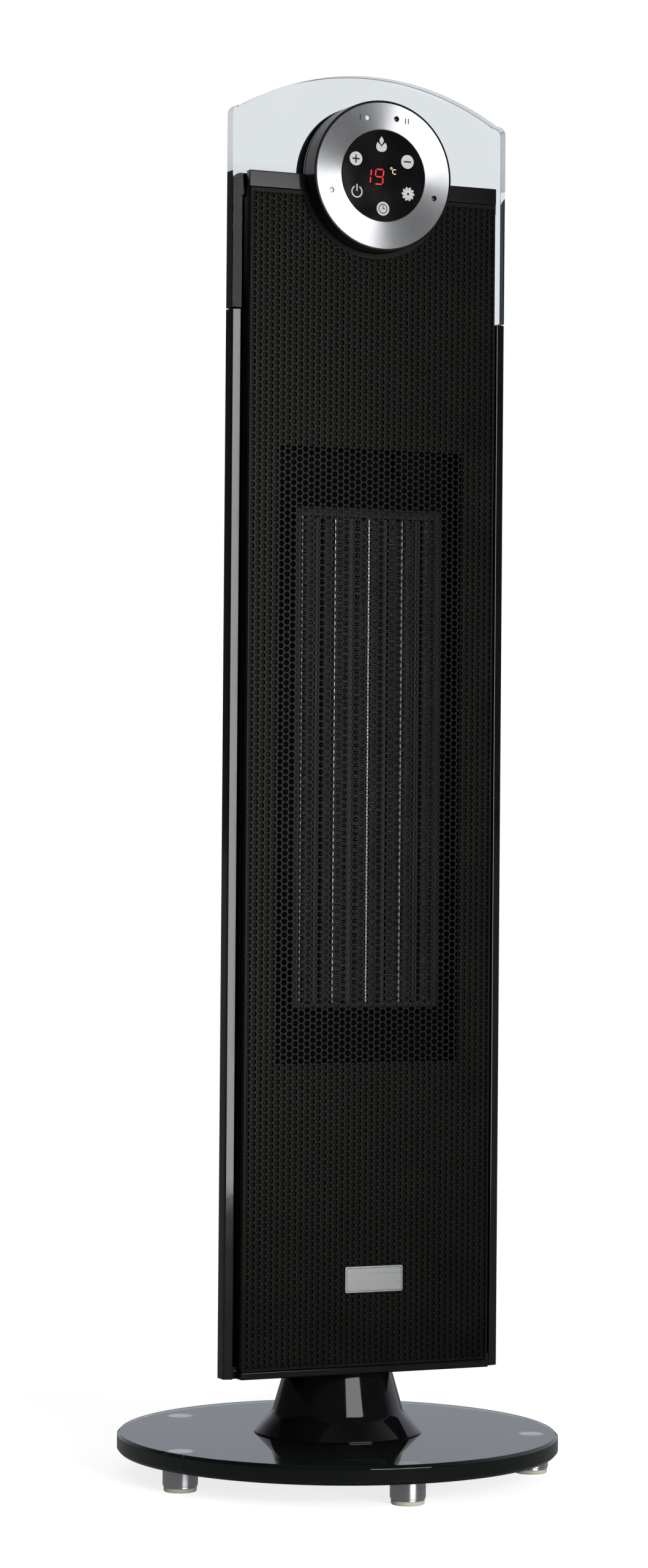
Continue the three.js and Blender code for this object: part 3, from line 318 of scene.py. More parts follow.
# A flat sheet pushed into a solid, with the sheet itself turned over as the far side
def thicken(desk, flat, offset):
    feeds = {"Mesh": flat, "Offset": offset, "Offset Scale": 1.0, "Individual": False}
    both = desk.add("GeometryNodeJoinGeometry")
    desk.feed(both.inputs[0], desk.geo("ExtrudeMesh", feeds, mode="FACES"))
    desk.feed(both.inputs[0], desk.geo("FlipFaces", {"Mesh": flat}))
    return Value(desk, both.outputs[0])


# Runs a geometry tree on a piece: counts are whole numbers, and all other values are in millimetres
def growPiece(piece, tree, material, **values):
    maker = piece.modifiers.new(tree.name, "NODES")
    maker.node_group = tree
    for item in tree.interface.items_tree:
        if item.in_out == "INPUT" and item.name in values:
            scale = 1 if item.socket_type == "NodeSocketInt" else mm
            maker[item.identifier] = values[item.name] * scale
        elif item.name == "material":
            maker[item.identifier] = finish[material]
    piece.update_tag()
    return bakeModifiers(piece)


def pointGrid(desk, across, along, pitchAcross, pitchAlong):
    width, height = (across - 1.0) * pitchAcross, (along - 1.0) * pitchAlong
    return width, desk.geo("MeshGrid", {
        "Size X": width, "Size Y": height, "Vertices X": across, "Vertices Y": along})


# Copies of one shape in rows and columns: across is along X, along is Z
def gridTree():
    desk, given = newGeometryTree("gridOfPieces", Int=["across", "along"], Float=["pitchAcross", "pitchAlong"])
    _, spots = pointGrid(desk, given["across"], given["along"], given["pitchAcross"], given["pitchAlong"])
    x, y, _ = desk.split(desk.geo("InputPosition"))
    upright = desk.geo("SetPosition", {"Geometry": spots, "Position": desk.vector(x, 0.0, y)})
    copies = desk.geo("InstanceOnPoints", {"Points": upright, "Instance": given["geometry"]})
    return endGeometryTree(desk, copies, given["material"])


# Copies of one shape turned about an upright axis
def roundTree():
    desk, given = newGeometryTree("ringOfPieces", Int=["count"], Float=["centreY"])
    spots = desk.geo("Points", {"Count": given["count"]})
    turn = desk.vector(0.0, 0.0, desk.geo("InputIndex") / given["count"] * (2 * pi))
    copies = desk.geo("InstanceOnPoints", {"Points": spots, "Instance": given["geometry"], "Rotation": turn})
    placed = desk.geo("Transform", {"Geometry": copies, "Translation": desk.vector(0.0, given["centreY"], 0.0)})
    return endGeometryTree(desk, placed, given["material"])


placeCamera()
print("camera placed")


# Materials: each starts from a principled shader, with its colour, roughness and relief from noise on
# the piece's own coordinates
def startMaterial(name, colour, roughness, metallic=0.0):
    material = bpy.data.materials.new(name)
    material.use_nodes = True
    desk = NodeDesk(material.node_tree)
    sockets = material.node_tree.nodes["Principled BSDF"].inputs
    for label, value in (("Base Color", (*colour, 1)), ("Roughness", roughness), ("Metallic", metallic)):
        sockets[label].default_value = value
    return material, desk, sockets, desk.reads("ShaderNodeTexCoord")["Object"]


def noise(place, scale, detail=3.0, stretch=None):
    if stretch:
        place = place.desk.shade("Mapping", {"Vector": place, "Scale": stretch})
    return place.desk.shade("TexNoise", {"Vector": place, "Scale": scale, "Detail": detail})


def ranged(value, fromLow, fromHigh, low=0.0, high=1.0):
    return value.desk.shade("MapRange", {
        "Value": value, "From Min": fromLow, "From Max": fromHigh, "To Min": low, "To Max": high})


def spread(value, low=0.0, high=1.0):
    return ranged(value, 0.3, 0.7, low, high)


def mixColour(share, first, second):
    mixed = share.desk.add("ShaderNodeMix", {0: share}, data_type="RGBA")
    for index, colour in ((6, first), (7, second)):
        share.desk.feed(mixed.inputs[index], (*colour, 1) if isinstance(colour, tuple) else colour)
    return Value(share.desk, mixed.outputs[2])


# A colour that drifts between the one given and a lighter or darker tone of it
def drift(share, colour, lighter):
    return mixColour(share, colour, tuple(c * lighter for c in colour))


def relief(sockets, height, depth):
    height.desk.feed(sockets["Normal"], height.desk.shade("Bump", {"Height": height, "Distance": depth * mm}))


def grainedFinish(name, colour, roughness, wear, lighter, grain, depth, detail=3.0, specular=0.5,
                  shine=(1.0, 1.0, 1.0)):
    material, desk, sockets, place = startMaterial(name, colour, roughness[0])
    sockets["Specular IOR Level"].default_value = specular
    sockets["Specular Tint"].default_value = (*shine, 1)
    slow = noise(place, wear)
    desk.feed(sockets["Roughness"], spread(slow, *roughness))
    desk.feed(sockets["Base Color"], drift(spread(slow), colour, lighter))
    relief(sockets, noise(place, grain, detail), depth)
    return material


def glossFinish(name, colour, roughness=(0.05, 0.1), ripple=0.004, specular=0.5):
    return grainedFinish(name, colour, roughness, 60.0, 1.5, 220.0, ripple, 1.0, specular)


def mouldedFinish(name, colour, roughness=(0.4, 0.55), grain=2600.0, depth=0.02, lighter=1.4, *shine):
    return grainedFinish(name, colour, roughness, 35.0, lighter, grain, depth, 3.0, *shine)


# Cord sheath: plain round cable with a faint sheen and shallow unevenness along it
def sheathFinish(name, colour):
    return grainedFinish(name, colour, (0.38, 0.55), 90.0, 1.6, 1300.0, 0.03)


# Metal brushed or rolled along one axis: the noise is stretched along it
def brushedFinish(name, colour, stretch, roughness=(0.25, 0.4)):
    material, desk, sockets, place = startMaterial(name, colour, roughness[0], 1.0)
    lines = noise(place, 1500.0, 2.0, stretch)
    desk.feed(sockets["Roughness"], spread(lines, *roughness))
    share = spread(lines, 0.2) * spread(noise(place, 40.0), 0.5)
    desk.feed(sockets["Base Color"], drift(share, colour, 0.82))
    relief(sockets, lines, 0.004)
    return material


# Metal brushed in circles about the front-to-back axis at a height: highlights stretch along the radius
def turnedFinish(name, colour, centreZ, roughness, depth, anisotropy):
    material, desk, sockets, place = startMaterial(name, colour, roughness[0], 1.0)
    x, _, z = desk.split(place)
    z = z - centreZ * mm
    turn = z.math("ARCTAN2", x).math("ABSOLUTE")
    lines = noise(desk.vector(length(x, z), turn * 0.0012, 0.0), 6500.0)
    desk.feed(sockets["Roughness"], spread(lines, *roughness))
    desk.feed(sockets["Base Color"], drift(spread(noise(place, 55.0)), colour, 0.86))
    sockets["Anisotropic"].default_value = anisotropy
    desk.feed(sockets["Tangent"], desk.vector(x, 0.0, z))
    relief(sockets, lines, depth)
    return material


# Metal turned and plated on an upright axis: fine grooves run round it and stretch highlights upwards
def turnedPostFinish(name, colour, roughness, anisotropy):
    material, desk, sockets, place = startMaterial(name, colour, roughness[0], 1.0)
    grooves = noise(place, 1500.0, 2.0, (0.02, 0.02, 1.0))
    desk.feed(sockets["Roughness"], spread(grooves, *roughness))
    desk.feed(sockets["Base Color"], drift(spread(grooves), colour, 0.85))
    sockets["Anisotropic"].default_value = anisotropy
    desk.feed(sockets["Tangent"], desk.vector(0.0, 0.0, 1.0))
    return material


# Clear plastic or glass. Given a shade tint and two heights, its left part is painted darker downwards between
# them: painted shade
def clearFinish(name, colour, index, roughness=0.0, lowerLeftShade=None):
    material, desk, sockets, place = startMaterial(name, colour, roughness)
    sockets["IOR"].default_value = index
    sockets["Transmission Weight"].default_value = 1.0
    tint = drift(spread(noise(place, 25.0)), colour, 0.985)
    if lowerLeftShade:
        dark, low, high = lowerLeftShade
        x, _, z = desk.split(place)
        level = ranged(z, low * mm, high * mm).math("POWER", 1.5)
        tint = mixColour(level.math("MAXIMUM", x.math("GREATER_THAN", 0.0)), dark, tint)
    desk.feed(sockets["Base Color"], tint)
    return material


def glowFinish(name, colour, strength):
    material, desk, sockets, place = startMaterial(name, colour, 0.4)
    sockets["Emission Color"].default_value = (*colour, 1)
    desk.feed(sockets["Emission Strength"], spread(noise(place, 900.0), 0.85 * strength, strength))
    return material


# The glass foot is printed black underneath, with a bare round window over each post, where the
# brushed head of the post is bonded and shows
underside = {
    "windows": 5, "circle": 103.5, "firstAngle": -94.3, "windowRadius": 7.5, "softEdge": 1.6,
    "print": (0.006, 0.006, 0.007), "metal": (0.85, 0.88, 0.9),
}


def undersideFinish(name):
    printed, edge = underside["print"], underside["windowRadius"]
    material, desk, sockets, place = startMaterial(name, printed, 0.5)
    x, y, _ = desk.split(place)
    step = 2 * pi / underside["windows"]
    turn = y.math("ARCTAN2", x) - (radians(underside["firstAngle"]) - step / 2)
    turn = turn.math("FLOORED_MODULO", step) - step / 2
    radius = length(x, y)
    away = length(radius * turn.math("COSINE") - underside["circle"] * mm, radius * turn.math("SINE"))
    rim = ranged(away, (edge - underside["softEdge"]) * mm, edge * mm, 1.0, 0.0)
    share = rim * spread(noise(place, 700.0), 0.75)
    desk.feed(sockets["Base Color"], mixColour(share, printed, underside["metal"]))
    desk.feed(sockets["Metallic"], rim)
    desk.feed(sockets["Roughness"], 0.6 - rim * 0.42)
    return material


looks = {
    "glossBlack": (glossFinish, (0.004, 0.004, 0.0045), (0.05, 0.1), 0.004, 0.38),
    "coverBlack": (glossFinish, (0.004, 0.004, 0.0045), (0.05, 0.1), 0.004, 0.62),
    "dialBlack": (mouldedFinish, (0.006, 0.006, 0.0065), (0.28, 0.36), 2600.0, 0.004, 1.4, 0.25),
    "capBlack": (mouldedFinish, (0.003, 0.003, 0.003), (0.12, 0.16), 2600.0, 0.002),
    "satinBlack": (mouldedFinish, (0.008, 0.008, 0.0085)),
    "grillePaint": (mouldedFinish, (0.004, 0.0042, 0.0038), (0.24, 0.3), 3200.0, 0.006, 1.4, 0.12,
                    (0.95, 1.0, 0.88)),
    "frameGrey": (mouldedFinish, (0.005, 0.0052, 0.0048), (0.28, 0.36), 2600.0, 0.01, 1.4, 0.05,
                  (0.95, 1.0, 0.88)),
    # a dull near black that paints shade on inner pieces and on the housing rim behind the clear panel
    "deepBlack": (mouldedFinish, (0.002, 0.002, 0.002), (0.7, 0.8), 2600.0, 0.02, 1.4, 0.1),
    "ductGrey": (mouldedFinish, (0.04, 0.042, 0.045), (0.5, 0.65)),
    "naturalNylon": (mouldedFinish, (0.72, 0.7, 0.64), (0.4, 0.55), 1800.0, 0.02, 1.1),
    "creamRubber": (mouldedFinish, (0.7, 0.66, 0.55), (0.7, 0.85), 1500.0, 0.04, 1.15),
    "boardGreen": (mouldedFinish, (0.03, 0.11, 0.05), (0.3, 0.45), 400.0, 0.02, 1.8),
    # the clear panel's left part is painted darker towards its bottom: painted shade
    "clearAcrylic": (clearFinish, (0.745, 0.78, 0.807), 1.22, 0.0, ((0.03, 0.034, 0.037), 613.7, 690.0)),
    "satinEdge": (clearFinish, (0.82, 0.85, 0.87), 1.49, 0.6),
    "footGlass": (clearFinish, (0.86, 0.95, 0.92), 1.5),
    "glassEdge": (clearFinish, (0.04, 0.12, 0.09), 1.5),
    "glassUnderside": (undersideFinish,),
    "brushedRing": (turnedFinish, (0.66, 0.67, 0.69), 685.7, (0.26, 0.36), 0.002, 0.95),
    "brushedPlate": (brushedFinish, (0.36, 0.366, 0.37), (0.02, 1.0, 1.0)),
    "postChrome": (turnedPostFinish, (0.9, 0.91, 0.94), (0.3, 0.36), 0.95),
    "zincSteel": (brushedFinish, (0.55, 0.56, 0.57), (1.0, 1.0, 0.05), (0.3, 0.42)),
    "rolledAluminium": (brushedFinish, (0.42, 0.43, 0.44), (1.0, 1.0, 0.1), (0.35, 0.5)),
    "barGrey": (mouldedFinish, (0.035, 0.039, 0.041), (0.5, 0.6), 900.0, 0.01, 1.3, 0.3),
    "pinBrass": (brushedFinish, (0.72, 0.52, 0.25), (1.0, 1.0, 0.1), (0.2, 0.32)),
    "cordSheath": (sheathFinish, (0.012, 0.012, 0.0125)),
    "paleLens": (glossFinish, (0.72, 0.73, 0.74), (0.08, 0.14), 0.001),
    "darkLens": (glossFinish, (0.01, 0.01, 0.01), (0.08, 0.14), 0.001),
    "keyPrint": (mouldedFinish, (0.62, 0.64, 0.64), (0.35, 0.45), 900.0, 0.002, 1.12),
    # black print, and also painted shade on the clear panel's lower left side
    "inkBlack": (mouldedFinish, (0.008, 0.008, 0.008), (0.4, 0.5), 900.0, 0.002),
    "displayRed": (glowFinish, (0.75, 0.004, 0.006), 0.55),
    "displayAmber": (glowFinish, (0.9, 0.6, 0.36), 0.8),
}
finish = {name: make(name, *values) for name, (make, *values) in looks.items()}
print("materials made:", len(finish))


# Mains cord: one curve from the strain relief over the glass, through a tied hank of four layers
# behind the foot, to the plug
cord = {
    "diameter": 6.4,
    "exit": (0, 58.3, 43),
    "lead": [(0, 60, 42.95), (0.4, 63.5, 42.7), (2.2, 70, 41), (7, 81, 34.6), (13.2, 94.4, 28.2),
             (19.2, 107.4, 25.5), (25.5, 121.4, 25.2), (32, 135.8, 25.2), (37.3, 147.5, 25.2)],
    "tail": [(60.1, 198.2, 4.5), (63.2, 203, 4.5), (69.9, 209.3, 4.6), (82.8, 214.8, 5.2), (95.7, 220.2, 6.9),
             (102.1, 226, 8.1), (105.6, 232.3, 8.5)],
    "roundSteps": 3,
}
hank = {
    "heading": 65.56, "centre": 177.5, "side": -0.9, "foldCentre": 26.7, "halfWidth": 26.4,
    "pitch": 7.15, "layerPitch": 6.9, "waist": 3, "layers": 4, "turns": 5.25,
    "runSteps": 4, "foldSteps": 8, "floor": 1.3,
    # turns round the hank, and how many pitches the cord then lies outside the inner layer
    "spreads": [(0, 1), (1, 0), (1.25, 0), (2.5, 1.25), (2.75, 1.25), (4, 0), (4.25, 0), (5.25, 1)],
}
tie = {"thickness": 1, "width": 5, "clearance": 0.35}


# A point beside and along the hank's heading from the middle of the foot
def along(side, distance, z):
    a = radians(hank["heading"])
    return (distance * cos(a) + side * sin(a), distance * sin(a) - side * cos(a), z)


# The place and turn of a piece that lies beside and along that heading
def besideHank(side, distance):
    turn = Matrix.Rotation(radians(hank["heading"] - 90), 4, "Z")
    return Matrix.Translation(Vector(along(side, distance, 0)) * mm) @ turn


def hankSpread(turn):
    knots = hank["spreads"]
    for (start, first), (end, last) in zip(knots, knots[1:]):
        if turn <= end:
            share = first + (last - first) * (turn - start) / (end - start)
            return hank["halfWidth"] + hank["pitch"] * (share - 1)


def hankPoint(turn):
    quarter = int(turn * 4 + 1e-4)
    share = turn * 4 - quarter
    quarter %= 4
    spreadNow = hankSpread(turn)
    dropped = sum(min(1, max(0, (turn - start) * 4)) for start in (1, 2.5, 4))
    z = hank["floor"] + cord["diameter"] / 2 + (hank["layers"] - 1 - dropped) * hank["layerPitch"]
    last = turn == hank["turns"]
    sign = 1 if last or quarter < 2 else -1
    if quarter in (0, 2) or last:
        away = 1 if last else 2 * share - 1
        side = -sign * (spreadNow - hank["waist"] * (1 - away * away) ** 2)
        distance = sign * away * hank["foldCentre"]
    else:
        side = -sign * spreadNow * cos(share * pi)
        distance = sign * (hank["foldCentre"] + spreadNow * sin(share * pi))
    return along(hank["side"] + side, hank["centre"] + distance, z)


def hankRoute():
    stops = []
    for quarter in range(round(hank["turns"] * 4)):
        steps = hank["foldSteps"] if quarter % 2 else hank["runSteps"]
        stops += [(quarter + i / steps) / 4 for i in range(steps)]
    return [hankPoint(turn) for turn in [*stops, hank["turns"]]]


# A smooth line through points, with its knots spaced by the square root of the distances between them
def smoothLine(route, steps):
    spots = [Vector(p) for p in route]
    spots = [2 * spots[0] - spots[1], *spots, 2 * spots[-1] - spots[-2]]
    line = []
    for row in zip(spots, spots[1:], spots[2:], spots[3:]):
        knots = [0.0]
        for a, b in zip(row, row[1:]):
            knots.append(knots[-1] + sqrt((b - a).length))
        for i in range(steps):
            near, t = row, knots[1] + (knots[2] - knots[1]) * i / steps
            for reach in (1, 2):
                near = [a.lerp(b, (t - start) / (end - start))
                        for a, b, start, end in zip(near, near[1:], knots, knots[reach:])]
            line.append(near[0].lerp(near[1], (t - knots[1]) / (knots[2] - knots[1])))
    return [*line, Vector(route[-1])]


def buildCord():
    route = [cord["exit"], *cord["lead"], *hankRoute(), *cord["tail"], along(0, 257.5, 8.5)]
    line = smoothLine(route, cord["roundSteps"])
    curve = bpy.data.curves.new("mainsCord", "CURVE")
    curve.dimensions = "3D"
    curve.bevel_depth = cord["diameter"] / 2 * mm
    curve.bevel_resolution = 4
    curve.use_fill_caps = True
    spline = curve.splines.new("POLY")
    spline.points.add(len(line) - 1)
    for point, spot in zip(spline.points, line):
        point.co = (*(spot * mm), 1)
    flex = finishPiece(addObject("mainsCord", curve), "base", "cordSheath", "cord_black",
                       "mains_cord_lead", "mains_cord_hank", "mains_cord_tail")
    return flex, round(sum((b - a).length for a, b in zip(line, line[1:])) * mm, 3)


# Hook-and-loop band round the hank's waist, a flat strip with rounded corners
def buildTie():
    side = hank["halfWidth"] + hank["pitch"] / 4 - hank["waist"] + cord["diameter"] / 2 + tie["clearance"]
    top = hank["floor"] + (hank["layers"] - 1) * hank["layerPitch"] + cord["diameter"] + tie["clearance"]
    thick, half = tie["thickness"], tie["width"] / 2
    outer = roundedRectangle(-side - thick, side + thick, 0, top + thick, 3.2)
    inner = roundedRectangle(-side, side, thick, top, 2.2)
    band = ringPrism("cordTie", outer, inner, -half, half)
    band.data.transform(besideHank(hank["side"], hank["centre"]))
    return finishPiece(roundEdges(band, 0.3), "base", "satinBlack", "satin_black", "cord_tie")


# Three-pin plug lying on its back, its grip narrower than its face and ribbed for the fingers
plug = {
    "start": 275.6, "width": 48, "length": 46, "height": 19, "faceThickness": 6, "cornerRound": 8, "gripInset": 5,
    "cordHeight": 8.5, "reliefLength": 20, "reliefTip": 4.6, "reliefRoot": 6, "reliefRings": 4,
    "pinSpacing": 22.2, "pinSetIn": 12, "flatPin": (6.4, 4, 17.7), "earthPin": (4, 8, 22.7), "sleeve": 9,
    "gripRibs": (19.6, 14.8, 4, 1, 1.6, 2.5, 11),  # beside, first along, pitch, width, depth, bottom, top
}


def plugOutline(inset):
    half = plug["width"] / 2 - inset
    low, high, curve = inset, plug["length"] - inset, plug["cornerRound"]
    line = bezier([(half - curve, low), (half, low), (half, low + curve)], 5)
    line += bezier([(half, high - 2 * curve), (half, high), (half - 2 * curve, high)], 8)
    return line + mirrored(line)


def buildPlug():
    p = plug
    faceBottom, root, tip = p["height"] - p["faceThickness"], p["gripInset"] + 3, p["reliefTip"]
    face = roundEdges(prism("plugFace", plugOutline(0), faceBottom, p["height"]), 1, 3)
    grip = roundEdges(prism("plugGrip", plugOutline(p["gripInset"]), 0, faceBottom + 0.3), 1.4, 3)
    profile = [(0, -p["reliefLength"]), (tip, -p["reliefLength"])]
    for i in range(p["reliefRings"]):
        at = 3 + 4 * i - p["reliefLength"]
        wide = tip + (p["reliefRoot"] - tip) * (i + 1) / p["reliefRings"]
        profile += [(wide, at), (wide, at + 2.2), (wide - 0.9, at + 2.6), (wide - 0.9, at + 3.8)]
    cone = lathe("plugRelief", [*profile, (p["reliefRoot"], root), (0, root)], 24, "Y", (0, 0, p["cordHeight"]))
    x, first, pitch, width, depth, low, high = p["gripRibs"]
    ribs = [block("rib", side * x, first + pitch * i, width, depth, low, high)
            for side in (-1, 1) for i in range(5)]
    body = smooth(joinPieces("plugBody", [face, grip, cone, *ribs]))
    (width, depth, reach), tops, y = p["flatPin"], p["height"], p["pinSetIn"]
    spots = [side * p["pinSpacing"] / 2 for side in (-1, 1)]
    pins = [block("pin", x, y, width, depth, tops - 0.3, tops + reach) for x in spots]
    sleeves = [block("sleeve", x, y, width + 0.1, depth + 0.1, tops - 0.2, tops + p["sleeve"]) for x in spots]
    width, depth, reach = p["earthPin"]
    pins.append(block("pin", 0, y + p["pinSpacing"], width, depth, tops - 0.3, tops + reach))
    metal = roundEdges(joinPieces("plugPins", pins), 0.6)
    sleeve = joinPieces("plugSleeves", sleeves)
    for piece, *rest in ((body, "satinBlack", "cord_black", "mains_plug"), (metal, "pinBrass", "brass"),
                         (sleeve, "inkBlack", "cord_black")):
        piece.data.transform(besideHank(0, p["start"]))
        finishPiece(piece, "base", *rest)
    return [body, metal, sleeve]


# Tapered strain relief in the back of the neck, ribbed so that it bends
relieving = {"z": 43, "start": 27, "shank": 5.6, "head": 7.2, "headFront": 34.6, "headHeight": 2.5, "end": 58.3,
             "tip": 4.5, "ribs": 6}


def buildStrainRelief():
    r, shank, head, under = relieving, relieving["shank"], relieving["head"], relieving["headFront"]
    front, end, wider = under + r["headHeight"], r["end"], shank + 0.9
    profile = [(0, r["start"]), (shank, r["start"]), (shank, under), (head - 0.5, under), (head, under + 0.5),
               (head, front - 0.6), (head - 0.6, front)]
    pitch = (end - front) / r["ribs"]
    for i in range(r["ribs"]):
        at, wide = front + i * pitch, wider - (wider - r["tip"]) * (i + 0.5) / r["ribs"]
        profile += [(wide - 0.9, at + 0.1 * pitch), (wide - 0.9, at + 0.35 * pitch),
                    (wide, at + 0.42 * pitch), (wide, at + 0.92 * pitch)]
    sleeve = smooth(lathe("cordStrainRelief", [*profile, (r["tip"], end), (0, end)], 32, "Y", (0, 0, r["z"])))
    finishPiece(sleeve, "base", "satinBlack", "cord_black", "cord_strain_relief")


flex, flexLength = buildCord()
band = buildTie()
plugPieces = buildPlug()
buildStrainRelief()
print("cord laid:", flexLength, "m")


# Glass foot: polished disc with ground bevels, posts with a turned groove, and pads
disc = {"radius": 117.5, "bottom": 12, "top": 22, "bevel": 1.5, "bore": 9.3, "steps": 192}
foot = {"count": 5, "circle": 103.5, "firstAngle": -94.3, "radius": 9.2, "padRadius": 8.6, "padTop": 2}


def buildDisc():
    r, b, low, high = disc["radius"], disc["bevel"], disc["bottom"], disc["top"]
    soft = 0.18
    profile = [
        (disc["bore"], low), (r - b - 2 * soft, low), (r - b - soft, low), (r - b + soft * 0.7, low + soft * 0.3),
        (r - soft * 0.7, low + b - soft * 0.3), (r, low + b + soft), (r, low + b + 2 * soft),
        (r, high - b - 2 * soft), (r, high - b - soft),
        (r - soft * 0.3, high - b + soft * 0.3), (r - b + soft * 0.3, high - soft * 0.3), (r - b - soft, high),
        (r - b - 2 * soft, high), (disc["bore"], high), (disc["bore"], low),
    ]
    glass = smooth(lathe("glassFoot", profile, disc["steps"]), 25)
    finishPiece(glass, "base", "footGlass", "dark_glass", "glass_disc")
    finishFaces(glass, ["glassEdge", "glassUnderside"],
                lambda normal, spot: 0 if normal.z > 0.9 else 2 if normal.z < -0.9 else 1)


def buildPosts():
    r, top, low, pad = foot["radius"], disc["bottom"] - 0.05, foot["padTop"], foot["padRadius"]
    post = [(0, low), (r - 1, low), (r - 0.4, low + 0.4), (r - 0.4, low + 1.2), (r - 0.05, low + 1.5),
            (r, low + 1.8), (r, top - 0.5), (r - 0.4, top), (0, top)]
    soft = [(0, 0), (pad - 0.5, 0), (pad, 0.5), (pad, low - 0.3), (pad - 0.3, low), (0, low)]
    a = radians(foot["firstAngle"])
    spot = (foot["circle"] * cos(a), foot["circle"] * sin(a), 0)
    kinds = (("footPosts", post, 48, "postChrome", "chrome", "foot_post_"),
             ("footPads", soft, 40, "creamRubber", "cream_rubber", "foot_pad_"))
    for name, profile, steps, material, slot, node in kinds:
        piece = smooth(lathe(name, profile, steps, centre=spot))
        growPiece(piece, roundCopies, material, count=foot["count"], centreY=0)
        finishPiece(piece, "base", material, slot, *[f"{node}{i + 1}" for i in range(foot["count"])])


# Neck: gloss shell, a cone with a rounded crease and a straight flare to a thin lip on the glass, with the
# cord's hole in its back
neck = {"lip": (44.6, 22.7), "crease": (35, 32.8), "round": 2, "top": (27.5, 59), "bottom": 22, "wall": 2.5,
        "deck": 3, "bore": 9.3, "holeRadius": 5.9, "steps": 128}


def buildNeck():
    n, lip, corner = neck, neck["lip"][0], Vector(neck["crease"])
    low, wall, bore, (topRadius, top) = n["bottom"], n["wall"], n["bore"], n["top"]
    bend = [tuple(corner + (Vector(end) - corner).normalized() * n["round"]) for end in (n["lip"], n["top"])]
    outside = [n["lip"], *bezier([bend[0], corner, bend[1]], 6), n["top"]]
    deck = top - n["deck"]
    inside = [(r - wall, z) for r, z in outside if z < deck - wall]
    profile = [(lip - 0.3, low), (lip, low + 0.25), *outside, (bore, top), (bore, deck), (topRadius - wall, deck),
               *reversed(inside), (lip - wall, low), (lip - 0.3, low)]
    shell = lathe("neckShell", profile, n["steps"])
    carve(shell, rod("cordHole", n["holeRadius"], 20, 46, 40, (0, 0, relieving["z"])))
    finishPiece(smooth(shell, 35), "base", "glossBlack", "gloss_black", "neck")


roundCopies = roundTree()
gridCopies = gridTree()
buildDisc()
buildPosts()
buildNeck()
print("foot and neck made")


# Front grille: a sheet with staggered round holes in a plain rim, with folds at its sides
sheet = {
    "columns": 42, "rows": 172, "columnPitch": 3.361, "rowPitch": 3.55, "hole": 3.24, "thickness": 1.0,
    "front": -34.8, "firstRow": 63.9, "halfWidth": 71.8, "bottom": 61.3, "top": 676.3, "foldBack": -28,
    "foldTop": 671.7, "upperFoldBack": -30.6, "rimSide": 70.4, "rimBottom": 62.3, "rimTop": 674.3, "sections": 2,
}
dial = {
    "z": 685.7, "radius": 39.5, "front": -45.3, "shoulder": -30.6, "neckRadius": 35.7, "back": -19.2,
    "ringOuter": 38.5, "ringInner": 24.1, "ringThickness": 1.5, "touchRadius": 23.8, "touchFront": -45.0,
    "lensRadius": 1.5, "lensCircle": 31.2, "steps": 128, "groove": -32.7,
    "clampProfile": [(36.3, -22), (39.1, -22), (39.5, -21.6), (39.5, -19.5), (39.2, -19.2), (36.3, -19.2),
                     (36, -19.5), (36, -21.7), (36.3, -22)],
}


def perforationTree():
    desk, given = newGeometryTree("perforatedSheet", Int=["columns", "rows"], Float=[
        "columnPitch", "rowPitch", "hole", "thickness", "front", "middleHeight", "clearHeight", "clearRadius"])
    # one cell: a ring of eight faces from the round hole to the cell's edge
    strip = desk.geo("MeshGrid", {"Size X": 1.0, "Size Y": 1.0, "Vertices X": 9, "Vertices Y": 2})
    x, y, _ = desk.split(desk.geo("InputPosition"))
    turn, out = (x + 0.5) * (2 * pi), y + 0.5
    parts = turn.math("COSINE"), turn.math("SINE")
    square = parts[0].math("ABSOLUTE").math("MAXIMUM", parts[1].math("ABSOLUTE"))
    x, z = [part * (given["hole"] * 0.5) * (1.0 - out) + part / square * (given[pitch] * 0.5) * out
            for part, pitch in zip(parts, ("columnPitch", "rowPitch"))]
    cell = desk.geo("SetPosition", {"Geometry": strip, "Position": desk.vector(x, 0.0, z)})
    # cell centres: every second column is raised by half a row, and none lies under the dial
    width, spots = pointGrid(desk, given["columns"], given["rows"], given["columnPitch"], given["rowPitch"])
    x, y, _ = desk.split(desk.geo("InputPosition"))
    odd = ((x + width * 0.5) / given["columnPitch"]).math("ROUND").math("FLOORED_MODULO", 2.0)
    height = y + odd * (given["rowPitch"] * 0.5) + given["middleHeight"]
    placed = desk.geo("SetPosition", {"Geometry": spots, "Position": desk.vector(x, given["front"], height)})
    x, _, z = desk.split(desk.geo("InputPosition"))
    hidden = length(x, z - given["clearHeight"]).math("LESS_THAN", given["clearRadius"])
    clear = desk.geo("DeleteGeometry", {"Geometry": placed, "Selection": hidden}, domain="POINT")
    copies = desk.geo("InstanceOnPoints", {"Points": clear, "Instance": cell})
    real, near = desk.geo("RealizeInstances", {"Geometry": copies}), 2e-5
    solid = thicken(desk, merge(desk, real, near), desk.vector(0.0, given["thickness"], 0.0))
    return endGeometryTree(desk, merge(desk, solid, near), given["material"])


# The angle below the horizontal at which a circle about the dial's centre meets a height
def dialDip(z, radius):
    return degrees(asin((dial["z"] - z) / radius))


# Outline of a sheet whose top edge is bitten by a circle about the dial's centre
def underDial(halfWidth, bottom, top, bite):
    dip = dialDip(top, bite)
    return [(-halfWidth, bottom), (halfWidth, bottom), (halfWidth, top),
            *arc(0, dial["z"], bite, -dip, dip - 180, 48), (-halfWidth, top)]


